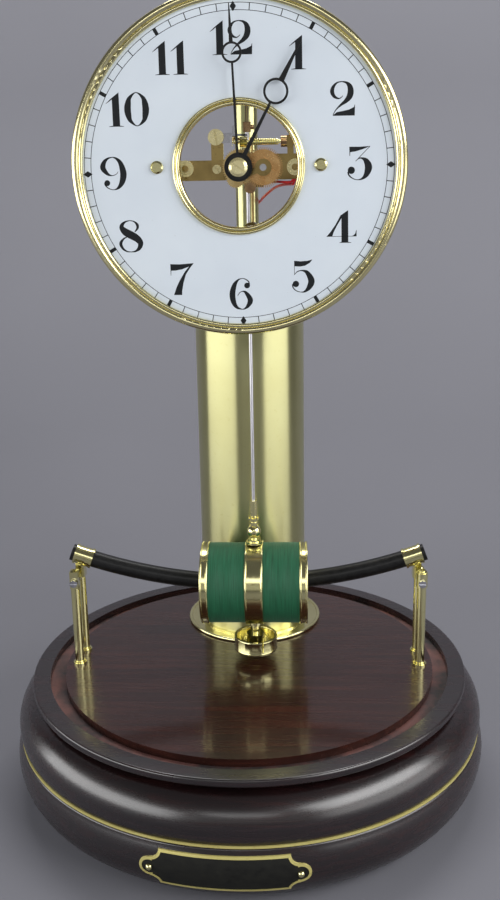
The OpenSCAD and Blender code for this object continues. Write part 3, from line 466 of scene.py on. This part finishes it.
ownFinish = {
    "column_tube": tubeBrass,
    "upper_pillar": tubeBrass,
    "brass_inlay_ring": finishes["plate_brass"],
    "hand_cap": giltBrass,
    "post_screws": giltBrass,
    "bar_nuts": giltBrass,
    "bezel_ring": spunBrass,
    "inner_ring": spunBrass,
    "pendulum_rod": brassMaterial("rodSteel"),
}
blackInk = paintMaterial("blackInk")
blackGround = paintMaterial("blackGround")
print("finishes for the slots:", len(finishes), "own finishes:", len(ownFinish))


edgeSettings = {"crease": 28, "weld": 2e-6, "merge": 1e-7}   # degrees and metres


def creaseOf(piece):
    split = piece.modifiers.new("crease", "EDGE_SPLIT")
    split.split_angle = math.radians(edgeSettings["crease"])
    split.use_edge_sharp = False


for row in record["subparts"]:
    piece = nodes[row["node"]]
    piece.data.materials.clear()
    piece.data.materials.append(ownFinish.get(row["node"], finishes[row["material_slot"]]))
    for face in piece.data.polygons:
        face.use_smooth = True
        face.material_index = 0
    weld = piece.modifiers.new("weld", "WELD")
    weld.merge_threshold = edgeSettings["weld"]
    creaseOf(piece)
print("finishes on the frame")


# dial numerals, drawn with a broad pen on a sheet one unit tall
penSettings = {"steps": 10, "dotSides": 24}


def smoothRun(knots, steps):
    # a smooth curve that passes through all its knots
    out = []
    for i in range(len(knots) - 1):
        a, b = knots[max(i - 1, 0)], knots[i]
        c, d = knots[i + 1], knots[min(i + 2, len(knots) - 1)]
        for j in range(steps):
            t = j / steps
            out.append(tuple(0.5 * (2 * q + (r - p) * t + (2 * p - 5 * q + 4 * r - s) * t * t
                                    + (3 * q - p - 3 * r + s) * t ** 3)
                             for p, q, r, s in zip(a, b, c, d)))
    out.append(tuple(knots[-1]))
    return out


def penStroke(bm, knots, closed=False):
    line = smoothRun(knots, penSettings["steps"])
    first, last = (line[-2], line[1]) if closed else (line[0], line[-1])
    pairs = []
    for (x, y, w), a, b in zip(line, [first] + line[:-1], line[1:] + [last]):
        d = Vector((b[0] - a[0], b[1] - a[1]))
        d.normalize()
        side = Vector((-d.y, d.x)) * w
        pairs.append((bm.verts.new((x + side.x, y + side.y, 0)),
                      bm.verts.new((x - side.x, y - side.y, 0))))
    for (p, q), (r, s) in zip(pairs, pairs[1:]):
        bm.faces.new((p, q, s, r))


def inkPatch(bm, corners):
    bm.faces.new([bm.verts.new((x, y, 0)) for x, y in corners])


def inkDot(bm, x, y, r):
    bmesh.ops.create_circle(bm, cap_ends=True, segments=penSettings["dotSides"], radius=r,
                            matrix=Matrix.Translation((x, y, 0)))


# strokes and loops run through X, Y and half their width there, patches through their
# corners, and dots are X, Y and a radius
digitStrokes = {
    "0": {
        "loops": [
            [(0.281, 0.5, 0.102), (0.262, 0.66, 0.092), (0.2, 0.84, 0.055), (0, 0.986, 0.013),
             (-0.2, 0.84, 0.055), (-0.262, 0.66, 0.092), (-0.281, 0.5, 0.102),
             (-0.262, 0.34, 0.092), (-0.2, 0.16, 0.055), (0, 0.014, 0.013), (0.2, 0.16, 0.055),
             (0.262, 0.34, 0.092), (0.281, 0.5, 0.102)],
        ],
    },
    "1": {
        "patches": [
            [(-0.11, 0), (0.11, 0), (0.105, 1), (0.06, 0.97), (-0.06, 0.885), (-0.18, 0.79),
             (-0.295, 0.69), (-0.30, 0.675), (-0.2, 0.735), (-0.11, 0.80)],
            [(-0.23, 0), (0.23, 0), (0.23, 0.012), (0.11, 0.03), (-0.11, 0.03), (-0.23, 0.012)],
        ],
    },
    "2": {
        "strokes": [
            [(0.012, 0.582, 0.006), (-0.03, 0.535, 0.012), (-0.115, 0.5, 0.02),
             (-0.245, 0.56, 0.045), (-0.312, 0.70, 0.062), (-0.27, 0.85, 0.045),
             (-0.16, 0.955, 0.022), (-0.02, 0.986, 0.014)],
            [(-0.02, 0.986, 0.014), (0.12, 0.95, 0.035), (0.215, 0.85, 0.072),
             (0.248, 0.704, 0.091), (0.215, 0.56, 0.088), (0.11, 0.43, 0.062),
             (-0.05, 0.31, 0.034), (-0.19, 0.18, 0.016), (-0.285, 0.03, 0.01)],
        ],
        "patches": [
            [(-0.30, 0), (0.375, 0), (0.383, 0.316), (0.372, 0.316), (0.35, 0.245),
             (0.2, 0.175), (0, 0.135), (-0.167, 0.108), (-0.272, 0.028)],
        ],
    },
    "3": {
        "dots": [(-0.255, 0.293, 0.11)],
        "patches": [
            [(-0.323, 0.993), (0, 0.988), (0.323, 1.005), (0.26, 0.978), (0.091, 0.915),
             (-0.128, 0.852), (-0.29, 0.83), (-0.302, 0.72), (-0.314, 0.72)],
        ],
        "strokes": [
            [(0.312, 0.998, 0.008), (0.09, 0.78, 0.009), (-0.128, 0.561, 0.008)],
            [(-0.12, 0.565, 0.006), (-0.03, 0.64, 0.014), (0.08, 0.645, 0.03),
             (0.2, 0.56, 0.08), (0.272, 0.378, 0.112), (0.21, 0.17, 0.08), (0.09, 0.045, 0.035),
             (-0.05, 0.008, 0.013), (-0.2, 0.045, 0.014), (-0.32, 0.14, 0.022),
             (-0.36, 0.25, 0.02)],
        ],
    },
    "4": {
        "patches": [
            [(-0.003, 0), (0.209, 0), (0.196, 1), (-0.028, 0.85), (-0.01, 0.76)],
            [(-0.028, 0.86), (-0.193, 0.56), (-0.341, 0.351), (-0.473, 0.193), (-0.295, 0.193),
             (-0.257, 0.313), (-0.155, 0.517), (-0.01, 0.758)],
            [(-0.473, 0.193), (0.468, 0.193), (0.468, 0.207), (-0.473, 0.207)],
            [(0.30, 0.2), (0.468, 0.193), (0.463, 0.39), (0.452, 0.39), (0.425, 0.28),
             (0.37, 0.225)],
            [(-0.066, 0), (0.303, 0), (0.303, 0.012), (0.209, 0.03), (-0.003, 0.03),
             (-0.066, 0.012)],
        ],
    },
    "5": {
        "dots": [(-0.238, 0.266, 0.101)],
        "patches": [
            [(-0.289, 0.998), (-0.089, 0.976), (0.122, 0.99), (0.287, 1.03), (0.205, 0.925),
             (0.052, 0.838), (-0.113, 0.814), (-0.289, 0.824)],
            [(-0.289, 0.55), (-0.275, 0.55), (-0.275, 0.9), (-0.289, 0.9)],
        ],
        "strokes": [
            [(-0.278, 0.56, 0.006), (-0.19, 0.655, 0.014), (-0.04, 0.687, 0.02),
             (0.12, 0.62, 0.062), (0.253, 0.372, 0.101), (0.19, 0.17, 0.08),
             (0.06, 0.035, 0.035), (-0.07, 0.008, 0.012), (-0.22, 0.05, 0.014),
             (-0.325, 0.15, 0.018), (-0.345, 0.26, 0.02)],
        ],
    },
    "6": {
        "dots": [(0.193, 0.767, 0.091)],
        "strokes": [
            [(0.275, 0.80, 0.012), (0.235, 0.90, 0.018), (0.13, 0.972, 0.014),
             (0.02, 0.988, 0.012), (-0.1, 0.935, 0.03), (-0.215, 0.77, 0.07),
             (-0.281, 0.5, 0.093), (-0.245, 0.24, 0.08), (-0.14, 0.07, 0.045),
             (0.02, 0.008, 0.012)],
            [(-0.115, 0.44, 0.006), (-0.05, 0.535, 0.012), (0.05, 0.583, 0.016),
             (0.16, 0.53, 0.05), (0.288, 0.31, 0.085), (0.22, 0.13, 0.06), (0.11, 0.03, 0.025),
             (0.02, 0.008, 0.012)],
        ],
    },
    "7": {
        "patches": [
            [(-0.376, 0.982), (-0.083, 0.971), (0.161, 0.988), (0.376, 1.005), (0.30, 0.93),
             (0.185, 0.885), (-0.01, 0.812), (-0.205, 0.778), (-0.352, 0.772), (-0.358, 0.622),
             (-0.371, 0.622)],
            [(0.376, 1.005), (0.259, 0.866), (0.112, 0.646), (0.027, 0.378), (-0.022, 0.134),
             (-0.029, 0), (-0.29, 0), (-0.205, 0.232), (-0.083, 0.476), (0.088, 0.744),
             (0.225, 0.905)],
        ],
    },
    "8": {
        "strokes": [
            [(-0.01, 0.988, 0.012), (-0.15, 0.955, 0.026), (-0.255, 0.87, 0.052),
             (-0.275, 0.765, 0.078), (-0.17, 0.64, 0.112), (0.015, 0.535, 0.121),
             (0.2, 0.42, 0.108), (0.295, 0.285, 0.088), (0.25, 0.13, 0.06),
             (0.13, 0.035, 0.028), (-0.01, 0.012, 0.012)],
            [(-0.01, 0.988, 0.012), (0.12, 0.955, 0.02), (0.215, 0.86, 0.042),
             (0.22, 0.75, 0.036), (0.13, 0.635, 0.012)],
            [(-0.10, 0.49, 0.012), (-0.24, 0.42, 0.028), (-0.332, 0.28, 0.048),
             (-0.27, 0.12, 0.036), (-0.14, 0.03, 0.02), (-0.01, 0.012, 0.012)],
        ],
    },
    "9": {
        "dots": [(-0.212, 0.213, 0.09)],
        "strokes": [
            [(0.148, 0.556, 0.006), (0.08, 0.475, 0.01), (-0.06, 0.44, 0.014),
             (-0.2, 0.5, 0.05), (-0.324, 0.674, 0.084), (-0.27, 0.85, 0.06),
             (-0.15, 0.955, 0.028), (-0.01, 0.99, 0.012)],
            [(-0.01, 0.99, 0.012), (0.11, 0.945, 0.035), (0.235, 0.8, 0.07),
             (0.308, 0.508, 0.1), (0.265, 0.26, 0.085), (0.15, 0.08, 0.045), (0, 0.01, 0.013),
             (-0.16, 0.045, 0.014), (-0.27, 0.14, 0.018), (-0.29, 0.22, 0.018)],
        ],
    },
}

pairPlaces = {"10": (-0.370, 0.273), "11": (-0.253, 0.320), "12": (-0.349, 0.275)}

numeralPlaces = {   # X and Y from the dial's centre in millimetres
    "12": (-2.5, 59.0), "1": (29.4, 51.8), "2": (50.1, 30.7), "3": (58.6, 0.8),
    "4": (50.1, -29.1), "5": (31.2, -53.2), "6": (0.0, -61.5), "7": (-29.3, -53.8),
    "8": (-54.3, -32.3), "9": (-61.4, -2.0), "10": (-52.9, 27.7), "11": (-31.6, 50.6),
}

dialSettings = {                 # lengths in millimetres, angles in degrees
    "centre": (0.8, 339.8),      # X and Z
    "face": -20.6,               # Y of the enamel
    "ink": 0.03,                 # how proud the markings stand
    "turn": 0.86,                # the dial sits a little turned, anticlockwise
    "height": 15.7,
    "short": 15.2,               # height of the ones that stand a little lower
    "shortOnes": ("1", "11", "12"),
    "trackIn": 72.2,
    "trackOut": 75.5,
    "trackShift": (-0.2, -1.1),  # the print sits a little low on the enamel
    "ringSides": 240,
    "marks": 60,
    "line": 0.14,                # half widths from here on
    "minute": 0.2,
    "five": 0.85,
    "diamond": (2.3, 1.5),       # along the spoke and across it
}


def drawNumber(bm, text, x, y, s):
    before = set(bm.verts)
    high = s["short"] if text in s["shortOnes"] else s["height"]
    for sign, shift in zip(text, pairPlaces.get(text, (0,))):
        own = set(bm.verts)
        shape = digitStrokes[sign]
        for run in shape.get("strokes", []):
            penStroke(bm, run)
        for run in shape.get("loops", []):
            penStroke(bm, run, closed=True)
        for corners in shape.get("patches", []):
            inkPatch(bm, corners)
        for dot in shape.get("dots", []):
            inkDot(bm, *dot)
        made = [v for v in bm.verts if v not in own]
        bmesh.ops.translate(bm, vec=(shift, -0.5, 0), verts=made)
    fresh = [v for v in bm.verts if v not in before]
    bmesh.ops.scale(bm, vec=(high,) * 3, verts=fresh)
    bmesh.ops.translate(bm, vec=(x, y, 0), verts=fresh)


def ringPatch(bm, radius, s):
    inner, outer = radius - s["line"], radius + s["line"]
    made = bmesh.ops.create_circle(bm, segments=s["ringSides"], radius=inner)["verts"]
    edges = list({e for v in made for e in v.link_edges})
    wide = bmesh.ops.extrude_edge_only(bm, edges=edges)["geom"]
    ring = [g for g in wide if isinstance(g, bmesh.types.BMVert)]
    bmesh.ops.scale(bm, vec=(outer / inner, outer / inner, 1), verts=ring)


def turnAll(bm, degrees, axis):
    turn = Matrix.Rotation(math.radians(degrees), 3, axis)
    bmesh.ops.rotate(bm, cent=(0, 0, 0), matrix=turn, verts=bm.verts)


def finishMesh(bm, name, material, body, smooth=False):
    mesh = bpy.data.meshes.new(name)
    bm.to_mesh(mesh)
    bm.free()
    for face in mesh.polygons:
        face.use_smooth = smooth
    mesh.materials.append(material)
    piece = bpy.data.objects.new(name, mesh)
    bpy.context.scene.collection.objects.link(piece)
    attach(piece, body)
    return piece


def layOnDial(bm, s):
    # flat drawing in X and Y is stood up in front of the enamel and given its thickness
    turnAll(bm, s["turn"], "Z")
    for face in bm.faces:
        face.normal_update()
        if face.normal.z < 0:
            face.normal_flip()
    solid = bmesh.ops.extrude_face_region(bm, geom=list(bm.faces))["geom"]
    top = [g for g in solid if isinstance(g, bmesh.types.BMVert)]
    bmesh.ops.translate(bm, vec=(0, 0, s["ink"]), verts=top)
    turnAll(bm, 90, "X")
    bmesh.ops.translate(bm, vec=(s["centre"][0], s["face"], s["centre"][1]), verts=bm.verts)
    bmesh.ops.scale(bm, vec=(mm, mm, mm), verts=bm.verts)
    bmesh.ops.recalc_face_normals(bm, faces=bm.faces)


def makeNumerals(s):
    bm = bmesh.new()
    for text, (x, y) in numeralPlaces.items():
        drawNumber(bm, text, x, y, s)
    # numerals stand upright while the track is a little turned
    turnAll(bm, -s["turn"], "Z")
    layOnDial(bm, s)
    finishMesh(bm, "dialNumerals", blackInk, "stand")


def makeTrack(s):
    bm = bmesh.new()
    ringPatch(bm, s["trackIn"], s)
    ringPatch(bm, s["trackOut"], s)
    mid = (s["trackIn"] + s["trackOut"]) / 2
    half = (s["trackOut"] - s["trackIn"]) / 2
    along, across = s["diamond"]
    for k in range(s["marks"]):
        turn = Matrix.Rotation(math.radians(90 - 360 / s["marks"] * k), 4, "Z")
        if k % 15 == 0:
            corners = [(mid - along, 0), (mid, -across), (mid + along, 0), (mid, across)]
        else:
            w = s["minute"] if k % 5 else s["five"]
            corners = [(mid - half, -w), (mid + half, -w), (mid + half, w), (mid - half, w)]
        bm.faces.new([bm.verts.new(turn @ Vector((x, y, 0))) for x, y in corners])
    bmesh.ops.translate(bm, vec=(*s["trackShift"], 0), verts=bm.verts)
    layOnDial(bm, s)
    finishMesh(bm, "dialTrack", blackInk, "stand")


makeNumerals(dialSettings)
makeTrack(dialSettings)
print("dial drawn")


def spinRow(bm, points, closed, axis, steps):
    row = [bm.verts.new(p) for p in points]
    ends = row[1:] + row[:1] if closed else row[1:]
    edges = [bm.edges.new((a, b)) for a, b in zip(row, ends)]
    bmesh.ops.spin(bm, geom=row + edges, cent=(0, 0, 0), axis=axis, angle=2 * math.pi,
                   steps=steps, use_merge=True)


def mendMesh(bm):
    bmesh.ops.remove_doubles(bm, verts=bm.verts, dist=edgeSettings["merge"])
    bmesh.ops.recalc_face_normals(bm, faces=bm.faces)


# silk windings as close turns of covered wire
windingSettings = {              # lengths in metres
    "turnPitch": 0.00044, "depth": 0.0015, "ridge": 0.00009, "segments": 112,
    # outline of one turn: share of the pitch, and share of the ridge below its crown
    "turnShape": ((0.04, 1), (0.32, 0.2), (0.68, 0.2)),
}


def makeWinding(name, node, s):
    low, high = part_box(node)
    outer = (high.z - low.z) / 2
    inner = outer - s["depth"]
    turns = int((high.x - low.x) / s["turnPitch"])
    pitch = (high.x - low.x) / turns
    points = [(low.x, 0, inner)]
    for k in range(turns):
        x = low.x + k * pitch
        points += [(x + pitch * share, 0, outer - s["ridge"] * down)
                   for share, down in s["turnShape"]]
    points += [(high.x, 0, outer - s["ridge"]), (high.x, 0, inner)]
    bm = bmesh.new()
    spinRow(bm, points, False, (1, 0, 0), s["segments"])
    axisPlace = (0, (low.y + high.y) / 2, (low.z + high.z) / 2)
    bmesh.ops.translate(bm, vec=axisPlace, verts=bm.verts)
    mendMesh(bm)
    piece = finishMesh(bm, name, finishes["green_silk"], "pendulum", smooth=True)
    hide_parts(node)


makeWinding("windingLeftTurns", "winding_left", windingSettings)
makeWinding("windingRightTurns", "winding_right", windingSettings)
print("windings wound")


# base moulding turned in one piece, finer than the facets of the frame
mouldingSettings = {             # radii and heights in millimetres
    "wall": 104, "cover": 111, "coverTop": 5.2, "pad": 1.2,
    "bun": (108.1, 24.5, 24.4),  # the rounds: radius of the centre, its height, its own radius
    "shelf": (129.3, 33.9, 1.3),
    "inlay": (126, 36.4),
    "upper": (114.5, 43, 16.3),
    "neck": 116.5, "rim": (120.8, 1.2), "rimLow": 61.8, "top": 66, "groove": 112.5,
    "steps": 256, "arc": 28, "shelfArc": 8, "rimArc": 6,
}


def arcRun(centre, start, end, count):
    # points on a circle from one place to the other
    cx, cz, r = centre
    a = math.atan2(start[1] - cz, start[0] - cx)
    b = math.atan2(end[1] - cz, end[0] - cx)
    angles = [a + (b - a) * k / count for k in range(count + 1)]
    return [(cx + r * math.cos(v), cz + r * math.sin(v)) for v in angles]


def atHeight(centre, z):
    cx, cz, r = centre
    return (cx + math.sqrt(r * r - (z - cz) ** 2), z)


def makeMoulding(s):
    # the outline runs from the inner foot out and up, then back in over the groove
    bun, upper = s["bun"], s["upper"]
    shelfR, shelfZ, shelfRound = s["shelf"]
    upR, upZ, upRound = upper
    rimR, nose = s["rim"]
    outline = [(s["wall"], s["coverTop"]), (s["cover"], s["coverTop"]), (s["cover"], s["pad"])]
    outline += arcRun(bun, atHeight(bun, s["pad"]), atHeight(bun, shelfZ), s["arc"])
    shelfTop = shelfZ + shelfRound
    shelfEnds = (shelfR + shelfRound, shelfZ), (shelfR, shelfTop)
    outline += arcRun(s["shelf"], *shelfEnds, s["shelfArc"])[1:]
    outline += [(s["inlay"][0], shelfTop), s["inlay"]]
    neckZ = upZ + math.sqrt(upRound ** 2 - (s["neck"] - upR) ** 2)
    outline += arcRun(upper, atHeight(upper, s["inlay"][1]), (s["neck"], neckZ), s["arc"])
    outline += [(s["neck"], s["rimLow"])]
    low, high = s["rimLow"] + nose, s["top"] - nose
    outline += arcRun((rimR, low, nose), (rimR, s["rimLow"]), (rimR + nose, low), s["rimArc"])
    outline += arcRun((rimR, high, nose), (rimR + nose, high), (rimR, s["top"]), s["rimArc"])
    outline += [(s["groove"], s["top"]), (s["groove"], s["rimLow"]), (s["wall"], s["rimLow"])]
    bm = bmesh.new()
    spinRow(bm, [(r * mm, 0, z * mm) for r, z in outline], True, (0, 0, 1), s["steps"])
    mendMesh(bm)
    piece = finishMesh(bm, "mouldingTurned", finishes["polished_mahogany"], "stand",
                       smooth=True)
    creaseOf(piece)
    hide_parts("base_moulding")


makeMoulding(mouldingSettings)
print("moulding turned")


# black ground of the name plate, lifted from the plate's own recess
plateSettings = {
    "floor": 0.5,        # the recess lies so far out from the round of the base, millimetres
    "slack": 0.06,
    "paint": 0.00006,    # thickness in metres
    "weld": 1e-6,
}


def makePlateGround(s):
    bunR, bunZ, bunRound = mouldingSettings["bun"]
    bm = bmesh.new()
    bm.from_mesh(nodes["name_plate"].data)
    bmesh.ops.remove_doubles(bm, verts=bm.verts, dist=s["weld"])
    spare = []
    for face in bm.faces:
        reach = []
        for v in face.verts:
            flat = math.hypot(v.co.x, v.co.y) / mm - bunR
            reach.append(math.hypot(flat, v.co.z / mm - bunZ) - bunRound)
        if min(reach) < s["floor"] - s["slack"] or max(reach) > s["floor"] + s["slack"]:
            spare.append(face)
    bmesh.ops.delete(bm, geom=spare, context="FACES")
    bmesh.ops.solidify(bm, geom=list(bm.faces), thickness=-s["paint"])
    bmesh.ops.recalc_face_normals(bm, faces=bm.faces)
    finishMesh(bm, "plateGround", blackGround, "stand")


makePlateGround(plateSettings)
print("name plate painted")


# stage: a grey paper that lies under the clock and rises behind it, with painted light that makes
# it lighter towards the top
stageSettings = {
    "half": 1.6,                      # half its width
    "front": -1.9,
    "bend": 0.24,                     # Y where it starts to rise
    "round": 0.42, "roundSteps": 40,
    "top": 1.9,                       # height of the upright part above the bend
    "low": (0.198, 0.198, 0.222),     # where it lies
    "high": (0.400, 0.400, 0.440),    # at the top of the picture, painted lighter there as painted light
    "paintedLightRise": (0.08, 0.9),              # heights between which painted light makes it lighter
}

worldSettings = {"colour": (0.52, 0.52, 0.55), "strength": 0.2}


def paperMaterial(s):
    mat, tree, shader, place = startMaterial("greyPaper")
    # painted light: the paper's colour grows lighter with height, standing in for how the light
    # falls on floor and wall
    level = tree.nodes.new("ShaderNodeSeparateXYZ")
    tree.links.new(place, level.inputs["Vector"])
    paintedLightHeight = tree.nodes.new("ShaderNodeMapRange")
    setInputs(paintedLightHeight, {"From Min": s["paintedLightRise"][0], "From Max": s["paintedLightRise"][1]})
    tree.links.new(level.outputs["Z"], paintedLightHeight.inputs["Value"])
    colour = rampOf(tree, paintedLightHeight.outputs["Result"], [(0, s["low"]), (1, s["high"])])
    cloud = noiseOf(tree, place, 3, detail=2)
    soft = greyRamp(tree, cloud, [(0.3, 0.95), (0.7, 1)])
    tree.links.new(mixOf(tree, 1.0, colour, soft, "MULTIPLY"), shader.inputs["Base Color"])
    setInputs(shader, {"Roughness": 0.85, "Specular IOR Level": 0.2})
    # clear from behind, so that the back of the clock can be looked at
    side = tree.nodes.new("ShaderNodeNewGeometry")
    clear = tree.nodes.new("ShaderNodeBsdfTransparent")
    both = tree.nodes.new("ShaderNodeMixShader")
    tree.links.new(side.outputs["Backfacing"], both.inputs["Fac"])
    tree.links.new(shader.outputs["BSDF"], both.inputs[1])
    tree.links.new(clear.outputs["BSDF"], both.inputs[2])
    output = [n for n in tree.nodes if n.bl_idname == "ShaderNodeOutputMaterial"][0]
    tree.links.new(both.outputs["Shader"], output.inputs["Surface"])
    return mat


def makePaper(s):
    bm = bmesh.new()
    ends = [bm.verts.new((x, s["front"], 0)) for x in (-s["half"], s["half"])]
    edge = bm.edges.new(ends)
    flat = bmesh.ops.extrude_edge_only(bm, edges=[edge])["geom"]
    line = [g for g in flat if isinstance(g, bmesh.types.BMVert)]
    bmesh.ops.translate(bm, vec=(0, s["bend"] - s["front"], 0), verts=line)
    fold = [g for g in flat if isinstance(g, bmesh.types.BMEdge) and set(g.verts) == set(line)]
    curve = bmesh.ops.spin(bm, geom=line + fold, cent=(0, s["bend"], s["round"]),
                           axis=(1, 0, 0), angle=math.pi / 2, steps=s["roundSteps"])
    last = [g for g in curve["geom_last"] if isinstance(g, bmesh.types.BMEdge)]
    wall = bmesh.ops.extrude_edge_only(bm, edges=last)["geom"]
    raised = [g for g in wall if isinstance(g, bmesh.types.BMVert)]
    bmesh.ops.translate(bm, vec=(0, 0, s["top"]), verts=raised)
    bmesh.ops.recalc_face_normals(bm, faces=bm.faces)
    bmesh.ops.reverse_faces(bm, faces=bm.faces)
    mesh = bpy.data.meshes.new("greyPaper")
    bm.to_mesh(mesh)
    bm.free()
    for face in mesh.polygons:
        face.use_smooth = True
    mesh.materials.append(paperMaterial(s))
    paper = bpy.data.objects.new("greyPaper", mesh)
    bpy.context.scene.collection.objects.link(paper)


def makeWorld(s):
    world = bpy.data.worlds.new("studio")
    bpy.context.scene.world = world
    world.use_nodes = True
    back = world.node_tree.nodes["Background"]
    setInputs(back, {"Color": (*s["colour"], 1), "Strength": s["strength"]})


lampSettings = {      # places and sizes in metres, power in watts
    "leftPanel": {
        "place": (-0.90, -0.40, 0.30), "aim": (0, 0, 0.1), "size": (1.45, 0.46), "power": 7.8,
    },
    "rightPanel": {
        "place": (0.80, -0.42, 0.66), "aim": (0, 0, 0.08), "size": (1.1, 0.45), "power": 8.5,
    },
    "rightLow": {
        "place": (0.85, -0.45, 0.19), "aim": (0, 0, 0.2), "size": (1.1, 0.34), "power": 2.2,
    },
    "frontPanel": {
        "place": (-0.05, -1.35, 0.78), "aim": (0, 0, 0.34), "size": (0.8, 0.3), "power": 1.6,
    },
    "frontLow": {
        "place": (0.0, -1.4, 0.30), "aim": (0, 0, 0.3), "size": (1.3, 0.34), "power": 0.4,
    },
    "topSoftbox": {
        "place": (0.0, 0.50, 1.30), "aim": (0, 0.1, 0), "size": (0.9, 0.26), "power": 8,
    },
}


def makeLamp(name, s):
    data = bpy.data.lights.new(name, "AREA")
    data.shape = "RECTANGLE"
    data.size, data.size_y = s["size"]
    data.energy = s["power"]
    lamp = bpy.data.objects.new(name, data)
    bpy.context.scene.collection.objects.link(lamp)
    lamp.location = s["place"]
    ray = Vector(s["aim"]) - Vector(s["place"])
    lamp.rotation_euler = ray.to_track_quat("-Z", "Y").to_euler()


makePaper(stageSettings)
makeWorld(worldSettings)
for name, lampRow in lampSettings.items():
    makeLamp(name, lampRow)
bpy.context.scene.view_settings.view_transform = "Standard"
print("stage set")
